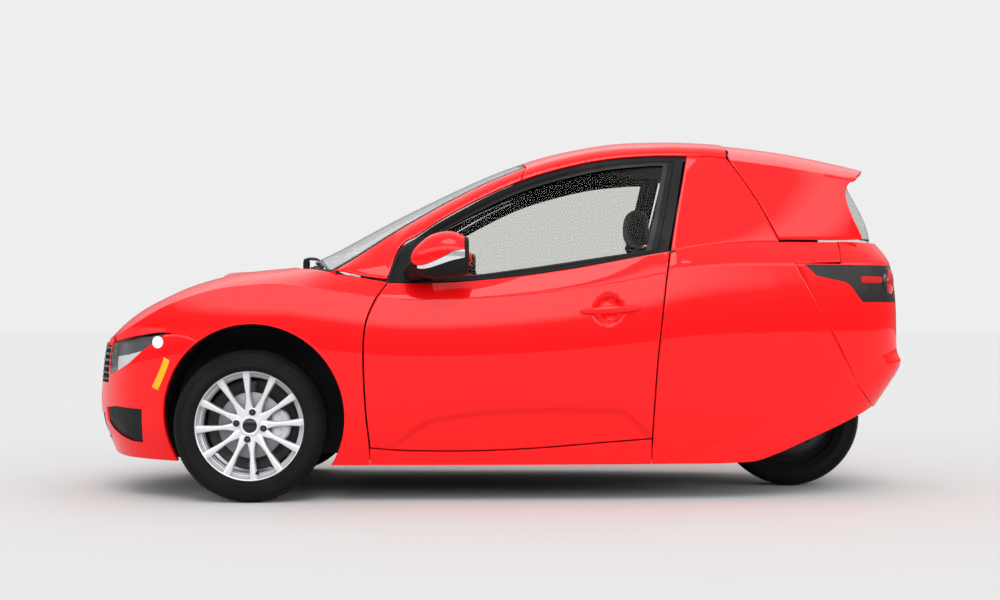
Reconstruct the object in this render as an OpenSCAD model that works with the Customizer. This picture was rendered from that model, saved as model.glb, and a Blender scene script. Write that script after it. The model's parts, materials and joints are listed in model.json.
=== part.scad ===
// Single-seat three-wheeled car: two steered front wheels, one driven rear wheel.
// +X points forward, +Y to the left, +Z up. The origin is on the ground under the
// middle of the overall length, on the centre line.

/* [Overall size] */
// Distance between the front and rear axles
wheelbase = 2017; // [1700:1:2400]
// Front axle to the tip of the nose
front_overhang = 673; // [570:1:800]
// Rear axle to the tip of the tail
rear_overhang = 400; // [345:1:470]
// Width of the body at its widest, without the mirrors
body_width = 1460; // [1250:1:1740]
// Ground to the top of the roof
body_height = 1330; // [1130:1:1580]

/* [Wheels] */
// Outer diameter of all three tyres
tyre_d = 540; // [460:1:640]
// Width of a tyre
tyre_w = 165; // [130:1:195]
// Diameter over the rim flanges
rim_d = 405; // [330:1:420]
// Distance between the middles of the front tyres
track = 1220; // [1120:1:1280]
// Spokes in a front wheel
spokes = 12; // [8:1:14]
// Radius of the stub axles
axle_r = 14; // [12:0.5:18]
// Radial clearance of a hub on its axle
hub_fit = 0.05; // [0.02:0.01:0.1]
// Brake disc radius
disc_r = 118; // [95:1:125]

/* [Panels] */
// Thickness of an outer panel
skin = 25; // [15:1:30]
// Thickness of a door, outer skin to inner trim
door_t = 60; // [45:1:70]
// Thickness of glass
glass_t = 6; // [4:0.5:8]
// Gap between a panel that moves and its neighbours
shut_gap = 6; // [5:0.5:9]
// Free space between the tyre and the edge of the wheel arch
arch_clear = 56; // [45:1:70]

/* [Cabin] */
// Width of the seat
seat_w = 500; // [400:1:560]
// Diameter of the steering wheel
steer_wheel_d = 360; // [300:1:400]

/* [Mounts] */
// Bore radius of the towing eye socket
tow_bore_r = 8; // [6:0.5:10]
// Depth of the towing eye socket
tow_bore_len = 40; // [30:1:50]
// Distance between the number plate's two holes
plate_pitch = 180; // [120:1:240]
// Radius of the number plate's holes
plate_hole_r = 3.5; // [2.5:0.5:5]

/* [Hidden] */
RED = [0.85, 0.05, 0.05];
BLACK = [0.08, 0.08, 0.09];
GREY = [0.35, 0.36, 0.38];
SILVER = [0.78, 0.79, 0.8];
GLASS = [0.55, 0.6, 0.65, 0.5];

// The body's lines are drawn at these sizes and then stretched to the sizes above
DRAWN_FRONT_AXLE = 872;
DRAWN_REAR_AXLE = -1145;
DRAWN_NOSE = 1545;
DRAWN_TAIL = -1545;
DRAWN_WIDTH = 1460;
DRAWN_HEIGHT = 1330;
length = front_overhang + wheelbase + rear_overhang;
front_axle = length / 2 - front_overhang;
rear_axle = rear_overhang - length / 2;
ky = body_width / DRAWN_WIDTH;
kz = body_height / DRAWN_HEIGHT;
k_mid = wheelbase / (DRAWN_FRONT_AXLE - DRAWN_REAR_AXLE);
k_front = front_overhang / (DRAWN_NOSE - DRAWN_FRONT_AXLE);
k_rear = rear_overhang / (DRAWN_REAR_AXLE - DRAWN_TAIL);
tyre_r = tyre_d / 2;
rim_r = rim_d / 2;
arch_r = tyre_r + arch_clear;
arch_x = front_axle - 15;
arch_z = tyre_r + 36;
wheel_y = track / 2;
king_y = wheel_y - 35;
hub_y = wheel_y + 18;
disc_y = wheel_y - 8;
disc_t = 10;
// Heights of the lower and upper suspension arms
ARM_Z = tyre_r - 152;
TOP_Z = tyre_r + 136;
// The same gap measured upwards along a sloping edge, and along the drawn length
edge_gap = shut_gap * 1.3;
long_gap = shut_gap / k_mid;

// Where a drawn length lands on the real car, and back
function sx(x) = x > DRAWN_FRONT_AXLE ? front_axle + (x - DRAWN_FRONT_AXLE) * k_front
    : x < DRAWN_REAR_AXLE ? rear_axle + (x - DRAWN_REAR_AXLE) * k_rear
    : front_axle + (x - DRAWN_FRONT_AXLE) * k_mid;
function ux(x) = x > front_axle ? DRAWN_FRONT_AXLE + (x - front_axle) / k_front
    : x < rear_axle ? DRAWN_REAR_AXLE + (x - rear_axle) / k_rear
    : DRAWN_FRONT_AXLE + (x - front_axle) / k_mid;
function real(p) = [sx(p[0]), p[1] * ky, p[2] * kz];

// Smooth curve through points [x, a, b, ...], read at x; k picks the column
function clamp(v, lo, hi) = min(max(v, lo), hi);
function mix(a, b, t) = a + (b - a) * t;
function seek(x, p, i = 0) = i >= len(p) - 2 || x <= p[i + 1][0] ? i : seek(x, p, i + 1);
function slope(p, k, i) = let(a = p[max(i - 1, 0)], b = p[min(i + 1, len(p) - 1)])
    (b[k] - a[k]) / (b[0] - a[0]);
function rail(x, p, k = 1) =
    let(i = seek(x, p), a = p[i], b = p[i + 1], h = b[0] - a[0], t = clamp((x - a[0]) / h, 0, 1),
        u = 1 - t)
    (1 + 2 * t) * u * u * a[k] + t * u * u * h * slope(p, k, i)
    + t * t * (3 - 2 * t) * b[k] - t * t * u * h * slope(p, k, i + 1);

/* Lines of the body, drawn in millimetres */
// Half width of the body at its widest
WIDEST = [[-1000, 592], [-900, 620], [-700, 665], [-500, 690], [-200, 714], [150, 727], [500, 730], [750, 726]];
// Share of that width from the sill up to the shoulder crease
SECTION = [[0, 0.905], [0.25, 0.965], [0.55, 1], [0.8, 0.998], [1, 0.975]];
SILL_Z = 131;
// Height of the shoulder crease
CREASE = [[-1421, 862], [-1250, 858], [-1074, 851], [-900, 851], [-797, 846], [-673, 831], [-527, 798],
    [-310, 762], [-95, 736], [121, 722], [336, 721], [480, 736], [625, 757], [769, 774], [916, 765],
    [1005, 750], [1170, 697], [1345, 611], [1450, 574], [1520, 560]];
// How far the nose and the tail reach at each height, on the centre line
NOSE = [[130, 1478], [196, 1510], [257, 1537], [332, 1545], [459, 1537], [558, 1522], [620, 1500]];
TAIL = [[300, -1425], [324, -1440], [408, -1500], [455, -1532], [490, -1545], [520, -1530], [560, -1526],
    [730, -1520], [850, -1500], [915, -1470], [950, -1448]];
// Top line of the hood, then of the glass and the roof, on the centre line
HOOD_TOP = [[700, 848], [800, 839], [900, 829], [1000, 812], [1085, 790], [1148, 768], [1211, 741],
    [1274, 713], [1337, 680], [1400, 643], [1462, 600], [1522, 558]];
ROOF_TOP = [[-1420, 1211], [-1370, 1232], [-1274, 1257], [-1086, 1293], [-897, 1317], [-740, 1328],
    [-600, 1330], [-456, 1324], [-331, 1305], [-205, 1278], [-79, 1239], [47, 1190], [173, 1133],
    [299, 1073], [424, 1010], [550, 941], [640, 893], [720, 850]];
// Foot of the side windows: half width and height
BELT = [[-640, 640, 893], [-529, 650, 874], [-312, 660, 834], [-95, 667, 802], [122, 668, 781],
    [260, 668, 776], [382, 667, 777]];
// Where the shoulder meets the upper body behind the door
SHELF = [[-1372, 385, 936], [-1266, 425, 932], [-1028, 505, 930], [-865, 560, 924], [-722, 605, 907],
    [-640, 634, 893]];
// Top of the side windows, and the crease of the roof behind them
EAVE = [[-1302, 390, 1169], [-1149, 420, 1194], [-1028, 440, 1211], [-821, 465, 1234], [-694, 480, 1238],
    [-544, 490, 1236], [-394, 500, 1222], [-246, 512, 1191], [-97, 532, 1145], [50, 560, 1080],
    [196, 590, 1000], [275, 605, 945], [346, 620, 894], [385, 666, 779]];
// Edge of the windscreen, and its line carried back along the roof
SCREEN_EDGE = [[-1300, 340, 1206], [-900, 385, 1277], [-694, 408, 1289], [-547, 420, 1285],
    [-400, 430, 1274], [-255, 447, 1245], [-110, 467, 1202], [30, 487, 1145], [170, 510, 1074],
    [255, 525, 1025], [330, 543, 980], [402, 562, 934], [500, 594, 868], [590, 622, 812]];
// Shut line at the front and at the back of the door, by height
DOOR_FRONT = [[120, 441], [196, 444], [300, 454], [404, 460], [520, 463], [600, 460], [664, 446],
    [728, 416], [777, 382]];
DOOR_REAR = [[120, -556], [226, -558], [360, -565], [510, -575], [700, -596], [817, -610], [893, -622],
    [1053, -655], [1238, -694]];
// Foot of the door, by length
DOOR_FOOT = [[-560, 226], [-364, 212], [-134, 194], [96, 185], [325, 187], [445, 196]];
// Foot of the quarter panel behind the door, by length
QUARTER_FOOT = [[-1397, 322], [-1352, 301], [-1100, 195], [-1010, 158], [-920, 134], [-560, 131]];
// Seam between the quarter panel and the rear bumper, by height
REAR_SEAM = [[300, -1410], [324, -1397], [410, -1329], [667, -1188], [860, -1075]];
// Seam between the upper quarter and the hatch, by height
HATCH_SEAM = [[930, -1034], [1069, -960], [1150, -908], [1233, -849], [1335, -775]];
// Lower edge of the fender in front of the wheel: seam, then top of the headlight
FENDER_FRONT = [[1045, 572], [1162, 601], [1278, 591], [1400, 567]];
// Rear edge of the hatch's sides, by height
HATCH_TAIL = [[930, -1366], [980, -1343], [1030, -1318], [1095, -1296], [1140, -1300], [1172, -1330]];

// Half width of the flat floor between the rockers
CABIN_HALF = 515;
FLOOR_LOW = 138 * kz;
FLOOR_TOP = FLOOR_LOW + 20;
// Space between two pieces that rest on or against each other
SEAT_GAP = 0.3;
NOSE_START = 750;
NOSE_ROUND = 2.4;
TAIL_START = -1000;
TAIL_ROUND = 5;
TAIL_TAPER = 0.35;
HOOD_REAR = 744;
HOOD_HALF = 432;
SCREEN_TOP = -85;
SCREEN_FOOT = 700;
HATCH_FRONT = -846;

// Share of the widest width at a height
function share(x, z) = rail(clamp((z - SILL_Z) / (rail(x, CREASE) - SILL_Z), 0, 1), SECTION);
// Plan outline of the nose and the tail at a turn a, from 0 at the side to 90 on the centre line
function nose_pt(a, z) = [NOSE_START + (rail(z, NOSE) - NOSE_START) * pow(sin(a), 2 / NOSE_ROUND),
    rail(NOSE_START, WIDEST) * share(NOSE_START, z) * pow(max(cos(a), 0), 2 / NOSE_ROUND), z];
function tail_pt(a, z) = let(x = TAIL_START + (rail(z, TAIL) - TAIL_START) * pow(sin(a), 2 / TAIL_ROUND))
    [x, (rail(TAIL_START, WIDEST) + (x - TAIL_START) * TAIL_TAPER) * share(-1200, z)
    * pow(max(cos(a), 0), 2 / TAIL_ROUND), z];
function nose_turn(x, z) = asin(pow(clamp((x - NOSE_START) / (rail(z, NOSE) - NOSE_START), 0, 1),
    NOSE_ROUND / 2));
function tail_turn(x, z) = asin(pow(clamp((x - TAIL_START) / (rail(z, TAIL) - TAIL_START), 0, 1),
    TAIL_ROUND / 2));
// Half width of the body's side at any length and height
function half(x, z) = x > NOSE_START ? nose_pt(nose_turn(x, z), z)[1]
    : x < TAIL_START ? tail_pt(tail_turn(x, z), z)[1]
    : rail(x, WIDEST) * share(x, z);
function on_side(x, z) = [x, half(x, z), z];
function on_crease(x) = on_side(x, rail(x, CREASE));
function on_rail(x, p) = [x, rail(x, p, 1), rail(x, p, 2)];
// Top of the hood and fenders
function bulge(x, y) = 26 * pow(max(0, 1 - pow(y / 190, 2)), 1.5)
    * (x > 1040 ? clamp((1165 - x) / 125, 0, 1) : pow(clamp((x - 820) / 220, 0, 1), 1.4));
function on_top(x, y) = let(z = rail(x, HOOD_TOP), c = on_crease(x))
    [x, y, z - (z - c[2]) * pow(clamp(abs(y) / c[1], 0, 1), 4)];
function hood_side(x) = mix(HOOD_HALF, 395, clamp((x - HOOD_REAR) / 650, 0, 1));
// Crowned glass and roof between the two edges
function on_roof(x, s) = let(e = on_rail(x, SCREEN_EDGE), y = s * e[1])
    [x, y, e[2] + (rail(x, ROOF_TOP) - e[2]) * (1 - pow(abs(s), 2.3))];

// Closed plate between two grids of points with the same rows and columns
function flat(g) = [for (r = g) for (p = r) p];
function tri(a, b, c, d, flip) = flip ? [[a, b, c], [a, c, d]] : [[a, c, b], [a, d, c]];
module plate(outer, inner) {
    rows = len(outer);
    cols = len(outer[0]);
    n = rows * cols;
    r0 = floor((rows - 1) / 2);
    c0 = floor((cols - 1) / 2);
    o = outer[r0][c0];
    flip = cross(outer[r0][c0 + 1] - o, outer[r0 + 1][c0] - o) * (o - inner[r0][c0]) < 0;
    function at(r, c) = r * cols + c;
    polyhedron(concat(flat(outer), flat(inner)), concat(
        [for (r = [0:rows - 2], c = [0:cols - 2])
            each tri(at(r, c), at(r, c + 1), at(r + 1, c + 1), at(r + 1, c), flip)],
        [for (r = [0:rows - 2], c = [0:cols - 2])
            each tri(n + at(r, c), n + at(r, c + 1), n + at(r + 1, c + 1), n + at(r + 1, c), !flip)],
        [for (c = [0:cols - 2])
            each tri(at(0, c), at(0, c + 1), n + at(0, c + 1), n + at(0, c), !flip)],
        [for (c = [0:cols - 2])
            each tri(at(rows - 1, c), at(rows - 1, c + 1), n + at(rows - 1, c + 1), n + at(rows - 1, c), flip)],
        [for (r = [0:rows - 2])
            each tri(at(r, 0), at(r + 1, 0), n + at(r + 1, 0), n + at(r, 0), flip)],
        [for (r = [0:rows - 2])
            each tri(at(r, cols - 1), at(r + 1, cols - 1), n + at(r + 1, cols - 1), n + at(r, cols - 1), !flip)]
    ), convexity = 6);
}
function shifted(g, v) = [for (r = g) [for (p = r) p + v]];
module right() { mirror([0, 1, 0]) children(); }
module both() { children(); right() children(); }
// Rod from one point to another
module rod(a, b, r) {
    d = b - a;
    h = norm(d);
    translate(a) rotate([0, acos(d[2] / h), atan2(d[1], d[0])]) cylinder(r = r, h = h, $fn = 24);
}
module block(lo, hi) { translate(lo) cube(hi - lo); }

/* Hood, fenders and nose */
HOOD_ROWS = 12;
HOOD_COLS = 12;
function hood_front(y) = real(nose_pt(90 - nose_side(abs(y)), 562))[0] - shut_gap;
function nose_side(y) = let(w = rail(NOSE_START, WIDEST) * share(NOSE_START, 562))
    90 - acos(pow(clamp(y / w, 0, 1), NOSE_ROUND / 2));
module hood() {
    rear = sx(HOOD_REAR) + shut_gap;
    grid = [for (i = [0:HOOD_ROWS]) [for (j = [-HOOD_COLS / 2:HOOD_COLS / 2])
        let(s = j / (HOOD_COLS / 2), front = hood_front(s * 395),
            x = ux(mix(rear, front, i / HOOD_ROWS)), y = s * (hood_side(x) - shut_gap / 2),
            p = on_top(x, y))
        real([x, y, p[2] + bulge(x, y)])]];
    inner = [for (i = [0:HOOD_ROWS]) [for (p = grid[i])
        p + (i == HOOD_ROWS ? [-0.8, 0, -0.8] * skin : [-0.3 * i / HOOD_ROWS, 0, -1] * skin)]];
    color(RED) difference() {
        plate(grid, inner);
        inlet_box();
    }
}
module inlet_box() {
    block([sx(1048), -135 * ky, 700 * kz], [sx(1150), 135 * ky, 900 * kz]);
}
module hood_inlet() {
    color(GREY) intersection() {
        plate_hood_mesh();
        inlet_box();
    }
}
module plate_hood_mesh() {
    grid = [for (x = [1030:30:1180]) [for (s = [-4:4])
        let(y = s * 40, p = on_top(x, y)) real([x, y, p[2] + bulge(x, y) - 4])]];
    plate(grid, shifted(grid, [0, 0, -skin + 10]));
}

// Edge of the front wheel arch, by angle from the rear around over the top
function arch_pt(a) = [arch_x - arch_r * cos(a), arch_z + arch_r * sin(a)];
ARCH_START = -asin((arch_z - SILL_Z * kz) / arch_r);
ARCH_SEAM = 180 - acos(clamp((sx(1045) - arch_x) / arch_r, -1, 1));
ARCH_END = 180 + asin((arch_z - 145 * kz) / arch_r);
// Outer edge of the fender that faces each share of the arch: up the door, then along the crease
FENDER_TURN = 0.5;
function fender_edge(t) = t < FENDER_TURN
    ? let(z = mix(SILL_Z, 728, t / FENDER_TURN)) [rail(z, DOOR_FRONT) + long_gap, z]
    : let(x = mix(416 + long_gap / 2, 1157, (t - FENDER_TURN) / (1 - FENDER_TURN))) [x, rail(x, CREASE)];
function fender_col(inner_xz, outer_xz, rows) = [for (k = [0:rows]) let(t = k / rows,
    x = mix(inner_xz[0], outer_xz[0], t), z = mix(inner_xz[1], outer_xz[1], t))
    [x, half(ux(x), z / kz) * ky, z]];
function transpose(g) = [for (c = [0:len(g[0]) - 1]) [for (r = g) r[c]]];
ARCH_COLS = 18;
module fender_left() {
    cols = concat(
        [for (i = [0:ARCH_COLS]) let(t = i / ARCH_COLS, o = fender_edge(t))
            fender_col(arch_pt(mix(ARCH_START, ARCH_SEAM, t)), [sx(o[0]), o[1] * kz], 5)],
        [for (x = [1162, 1220, 1278, 1340, 1400]) let(o = mix(1180, 1410, (x - 1162) / 238))
            fender_col([sx(x), rail(x, FENDER_FRONT) * kz], [sx(o), rail(o, CREASE) * kz], 5)]);
    grid = transpose(cols);
    inner = [for (r = grid) [for (p = r) p + [0, -skin, 0]]];
    top_x = [for (i = [0:13]) mix(428, 1400, i / 13)];
    top = transpose([for (x = top_x) let(c = on_crease(x), g = fender_inner(x))
        [for (v = [0:3]) let(t = v / 3, y = mix(c[1], g[1], t))
            real(x > HOOD_REAR ? [x, y, on_top(x, y)[2]]
                : [x, y, mix(c[2], g[2], t) + 44 * t * (1 - t) * (x - 416) / 328])]]);
    top_out = [for (v = [0:3]) v == 0 ? [for (p = top[0]) p + [0, -0.25, -0.15] * skin] : top[v]];
    top_in = [for (v = [0:3]) [for (p = top[v]) p + (v == 0 ? [0, -0.7, -0.8] * skin : [0, 0, -skin])]];
    color(RED) {
        plate(grid, inner);
        plate(top_out, top_in);
    }
}
// Inner edge of the fender's top: pillar foot, cowl, then the hood
FENDER_INNER = [[416, 664, 780], [500, 655, 797], [590, 630, 815], [640, 575, 826], [700, 480, 833],
    [744, 435, 836]];
function fender_inner(x) = x > HOOD_REAR ? let(y = hood_side(x) + shut_gap / 2) on_top(x, y)
    : on_rail(x, FENDER_INNER);
module fender_right() { right() fender_left(); }

BUMPER_COLS = 30;
BUMPER_ROWS = 9;
// Height of the bumper's top edge at a turn of the nose outline
function bumper_top(a) = let(p = nose_pt(a, 562))
    p[0] > 1425 ? on_top(p[0] - 6, p[1])[2] - 8 : rail(p[0], FENDER_FRONT) - 8;
function bumper_side_x(z) = let(dz = z - arch_z) arch_x + sqrt(max(arch_r * arch_r - dz * dz, 0));
module bumper_plate(depth) {
    foot = 140;
    cols = [for (j = [-BUMPER_COLS / 2:BUMPER_COLS / 2]) let(s = abs(j) / (BUMPER_COLS / 2))
        [for (i = [0:BUMPER_ROWS]) let(t = i / BUMPER_ROWS,
            z_guess = mix(foot, 560, t), x_back = ux(bumper_side_x(z_guess * kz)) ,
            a0 = nose_turn(x_back, z_guess), a = mix(90, a0, pow(s, 0.9)),
            z_top = bumper_top(a), z = mix(foot + 12 * (1 - s), z_top, t), x_b = ux(bumper_side_x(z * kz)),
            a_z = mix(90, nose_turn(x_b, z), pow(s, 0.9)), p = nose_pt(a_z, z))
            real([p[0], sign(j) * p[1], z])]];
    inner = [for (j = [0:BUMPER_COLS]) [for (i = [0:BUMPER_ROWS]) let(p = cols[j][i],
        q = cols[clamp(j - 1, 0, BUMPER_COLS)][i], r = cols[clamp(j + 1, 0, BUMPER_COLS)][i],
        d = [r[1] - q[1], q[0] - r[0]], n = d / norm(d))
        [p[0] - n[0] * depth, p[1] - n[1] * depth, p[2] - (i == BUMPER_ROWS ? 0.9 * depth : 0)]]];
    plate(cols, inner);
}
LAMP = [[1162, 601], [1278, 590], [1400, 566], [1425, 560], [1440, 500], [1436, 446], [1381, 462],
    [1321, 490], [1254, 543], [1207, 572]];
module lamp_prism() {
    for (s = [-1, 1]) translate([0, s * 480 * ky, 0]) rotate([90, 0, 0])
        linear_extrude(560 * ky, center = true) polygon([for (p = LAMP) [sx(p[0]), p[1] * kz]]);
}
module grille_box() { block([sx(1300), -255 * ky, 415 * kz], [sx(1600), 255 * ky, 535 * kz]); }
module lower_box() { block([sx(1300), -330 * ky, 205 * kz], [sx(1600), 330 * ky, 300 * kz]); }
INTAKE = [[1292, 327], [1298, 207], [1349, 213], [1388, 228], [1408, 264], [1420, 312], [1377, 330]];
module intake_prism() {
    both() translate([0, 560 * ky, 0]) rotate([90, 0, 0])
        linear_extrude(300 * ky, center = true) polygon([for (p = INTAKE) [sx(p[0]), p[1] * kz]]);
}
TOW_MOUTH = [sx(1501), 260 * ky, 355 * kz];
module along_tow() { translate(TOW_MOUTH) rotate([0, -90, 0]) children(); }
module crash_beam() {
    color(GREY) difference() {
        union() {
            block([sx(1370), -390 * ky, 320 * kz], [sx(1400), 390 * ky, 390 * kz]);
            along_tow() cylinder(r = tow_bore_r + 9, h = TOW_MOUTH[0] - sx(1400) + 2, $fn = 48);
            for (s = [-1, 1]) block([sx(1330) + SEAT_GAP, s * 300 * ky - 30, 345 * kz],
                [sx(1372), s * 300 * ky + 30, TRAY_LOW + 40]);
        }
        along_tow() translate([0, 0, -1]) cylinder(r = tow_bore_r, h = tow_bore_len + 1, $fn = 48);
    }
}
module front_bumper() {
    color(RED) difference() {
        bumper_plate(skin);
        lamp_prism();
        grille_box();
        lower_box();
        intake_prism();
        along_tow() translate([0, 0, -60]) cylinder(r = tow_bore_r + 13, h = 120, $fn = 48);
    }
}
module front_grille() {
    color(BLACK) intersection() {
        bumper_plate(skin - 8);
        union() {
            grille_box();
            lower_box();
            intake_prism();
        }
    }
}
module headlights() {
    color(GLASS) intersection() {
        bumper_plate(skin);
        lamp_prism();
    }
}
module side_markers() {
    edges = [[1153, 502, 1175, 514], [1176, 450, 1200, 461], [1200, 394, 1224, 408]];
    function marker(lift) = [for (e = edges) [for (k = [0, 2])
        real(on_side(e[k], e[k + 1])) + [0.35, 0.94, 0] * lift]];
    color([1, 0.55, 0]) both() plate(marker(6), marker(1.2));
}

/* Glass, roof and pillars */
function screen_foot(s) = mix(592, SCREEN_FOOT, 1 - s * s);
module cowl() {
    rows = [for (i = [0:2]) [for (j = [-8:8]) let(s = j / 8, rear = screen_foot(s) + 5,
        y_r = s * 600, front = mix(HOOD_REAR, 612, pow(abs(s), 6)),
        y_f = s * mix(HOOD_HALF, 598.2, pow(abs(s), 8)), x = mix(rear, front, i / 2), y = mix(y_r, y_f, i / 2),
        z = mix(on_roof(rear, s)[2] - 6, on_top(HOOD_REAR, min(abs(y_f), 425))[2] - 10, i / 2))
        real([x, y, z - 6])]];
    color(BLACK) plate(rows, shifted(rows, [0, 0, -12]));
}
module wipers() {
    color(BLACK) for (s = [-1, 1]) {
        rod([sx(716), s * 250, 841.6 * kz], [sx(716), s * 250, 878 * kz], 12);
        rod([sx(716), s * 250, 872 * kz], [sx(706), s * 250 - 400, 884 * kz], 6);
    }
}
module windscreen() {
    rows = [for (i = [0:9]) [for (j = [-7:7]) let(s = j / 7 * 0.98,
        x = mix(screen_foot(s), SCREEN_TOP - 20 * s * s, i / 9)) real(on_roof(x, s))]];
    color(GLASS) plate(rows, shifted(rows, [-0.5, 0, -1] * glass_t));
}
// Band from the top of the side window to the edge of the windscreen
function band(x_low, x_high, t) = mix(on_rail(x_low, EAVE), on_rail(x_high, SCREEN_EDGE), t);
PILLAR = [[560, 590], [470, 500], [392, 402], [352, 330], [270, 255], [196, 170], [124, 100], [50, 30],
    [-24, -44], [-89.3, -107.8]];
PILLAR_FOOT = [[392, 664, 788], [470, 655, 799], [560, 636, 815]];
module a_pillar_left() {
    cols = [for (p = PILLAR) let(low = p[0] > 385 ? on_rail(p[0], PILLAR_FOOT) : on_rail(p[0], EAVE),
        high = on_rail(p[1], SCREEN_EDGE)) [for (t = [0, 0.5, 1]) real(mix(low, high, t)
        + [0, 0, t == 0 ? edge_gap : 0] + [0, 10 * t * (1 - t) * 4, 6 * t * (1 - t) * 4])]];
    inner = [for (c = cols) [for (k = [0:2]) c[k] + (k == 0 ? [0, -1, 0] : [0, -0.75, -0.5]) * skin]];
    color(RED) plate(cols, inner);
}
module a_pillar_right() { right() a_pillar_left(); }
module roof() {
    rows = [for (i = [0:9]) let(x = mix(SCREEN_TOP - 8, HATCH_FRONT + 2, i / 9)) concat(
        [real(on_rail(x, EAVE)) + [0, 0, edge_gap]],
        [for (j = [-6:6]) let(s = -j / 6) real(on_roof(x - 20 * s * s * (1 - i / 9), s))],
        [let(p = real(on_rail(x, EAVE))) [p[0], -p[1], p[2] + edge_gap]])];
    inner = [for (r = rows) [for (j = [0:14]) r[j] + (j == 0 ? [0, -1, 0]
        : j == 14 ? [0, 1, 0] : [0, 0, -1]) * skin]];
    color(RED) plate(rows, inner);
}

/* Body sides */
ROCKER_COLS = 10;
module rocker_left() {
    cols = [for (i = [0:ROCKER_COLS]) let(x = mix(440, -544, i / ROCKER_COLS))
        [for (t = [0, 0.5, 1]) let(z = mix(SILL_Z, rail(x, DOOR_FOOT), t))
            real(on_side(x, z)) - [0, 0, t == 1 ? shut_gap : 0]]];
    color(RED) plate(cols, [for (c = cols) [for (p = c) [p[0], CABIN_HALF * ky, p[2]]]]);
}
module rocker_right() { right() rocker_left(); }

QUARTER_COLS = 10;
// Height of the side at a share t of the way up: below the shoulder, and above it
function low_z(x, t) = mix(rail(x, QUARTER_FOOT), rail(x, CREASE), t);
function high_z(x, t, lo, hi) = mix(rail(x, SHELF, 2) + lo, rail(x, EAVE, 2) + hi, t);
// Where a seam given by height meets the side at a share t, closed in on in three steps
function low_seam(t, seam, x, n = 3) = n == 0 ? x : low_seam(t, seam, rail(low_z(x, t), seam), n - 1);
function high_seam(t, lo, hi, seam, x, n = 3) = n == 0 ? x
    : high_seam(t, lo, hi, seam, rail(high_z(x, t, lo, hi), seam), n - 1);
module quarter_left() {
    lower = [for (v = [0:8]) let(t = v / 8, front = low_seam(t, DOOR_REAR, -590) - long_gap / 2,
        back = low_seam(t, REAR_SEAM, -1220)) [for (u = [0:QUARTER_COLS])
        let(x = mix(front, back, u / QUARTER_COLS)) real(on_side(x, low_z(x, t)))]];
    // The front edge's inner face leans forward like the door's
    lower_in = [for (r = lower) [for (u = [0:QUARTER_COLS]) r[u] + [u == 0 ? 0.4 : 0, -1, 0] * skin]];
    shoulder = [for (t = [0, 0.35, 0.7, 1]) let(front = rail(mix(818, 893, pow(t, 0.75)), DOOR_REAR) - long_gap / 2)
        [for (u = [0:QUARTER_COLS]) let(x = mix(front, -1257, u / QUARTER_COLS), c = on_crease(x),
            e = on_rail(x, SHELF)) real([x, mix(c[1], e[1], t), mix(c[2], e[2], pow(t, 0.75))])]];
    shoulder_in = [for (v = [0:3]) [for (u = [0:QUARTER_COLS]) shoulder[v][u]
        + [u == 0 ? 0.4 : 0, v == 0 || u == 0 ? -1 : -0.5, v == 0 || u == 0 ? 0 : v == 3 ? -1 : -0.8] * skin]];
    upper = [for (v = [0:6]) let(t = v / 6, front = high_seam(t, -3, 5, DOOR_REAR, -640) - long_gap / 2,
        back = high_seam(t, -3, 5, HATCH_SEAM, -940) + long_gap / 2) [for (u = [0:4])
        let(x = mix(front, back, u / 4), a = rail(x, SHELF), b = rail(x, EAVE))
            real([x, mix(a, b, pow(t, 1.15)), high_z(x, t, -3, 5)])]];
    upper_in = [for (r = upper) [for (u = [0:4]) r[u] + [u == 0 ? 0.4 : 0, -1, 0] * skin]];
    color(RED) {
        plate(lower, lower_in);
        plate(shoulder, shoulder_in);
        plate(upper, upper_in);
        // Striker that the closed door rests on, and the hatch's buffer on the shelf
        block([sx(rail(STRIKER_Z, DOOR_REAR)) - 12, half(-590, STRIKER_Z) * ky - skin + 2, STRIKER_Z * kz - 10],
            [sx(rail(STRIKER_Z + 10, DOOR_REAR) + long_gap / 2) + 0.4 * (skin - 8) - 3 * SEAT_GAP,
                half(-590, STRIKER_Z) * ky - skin + 8, STRIKER_Z * kz + 10]);
        rod(real([-1140, rail(-1140, SHELF) - 8 / ky, rail(-1140, SHELF, 2) - 18 / kz]),
            real([-1140, rail(-1140, SHELF) - 8 / ky, high_z(-1140, 0, HATCH_LIFT, 0) - 0.6 / kz]), 5);
    }
}
STRIKER_Z = 600;
// Height of the hatch's lower edge above the shelf
HATCH_LIFT = 8;
module quarter_right() { right() quarter_left(); }

/* Tail */
TAIL_COLS = 28;
TAIL_ROWS = 10;
module tail_plate(depth) {
    cols = [for (j = [-TAIL_COLS / 2:TAIL_COLS / 2]) let(s = abs(j) / (TAIL_COLS / 2))
        [for (i = [0:TAIL_ROWS]) let(z = mix(322, 850, i / TAIL_ROWS),
            a0 = tail_turn(rail(z, REAR_SEAM) - 8.5, z), p = tail_pt(mix(90, a0, s), z))
            real([p[0], sign(j) * p[1], z])]];
    inner = [for (j = [0:TAIL_COLS]) [for (i = [0:TAIL_ROWS]) let(p = cols[j][i],
        q = cols[clamp(j - 1, 0, TAIL_COLS)][i], r = cols[clamp(j + 1, 0, TAIL_COLS)][i],
        d = [q[1] - r[1], r[0] - q[0]], side = j - TAIL_COLS / 2,
        // Straight inwards at the two ends, square to the surface from the fourth column on
        n = mix([0, sign(side)], d / norm(d), clamp((TAIL_COLS / 2 - abs(side)) / 4, 0, 1)))
        [p[0] - n[0] * depth, p[1] - n[1] * depth, p[2] - (i == TAIL_ROWS ? 0.6 * depth : 0)]]];
    plate(cols, inner);
}
function deck_pt(s, t) = let(a = mix(90, tail_turn(-1262, 852), abs(s)), p = tail_pt(a, 852),
    q = [mix(-1452, -1262, pow(abs(s), 3)), rail(-1262, SHELF, 1) * pow(abs(s), 0.7), 934])
    [mix(p[0], q[0], t), sign(s) * mix(p[1], q[1], t), mix(848, 934, pow(t, 0.7))];
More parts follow.
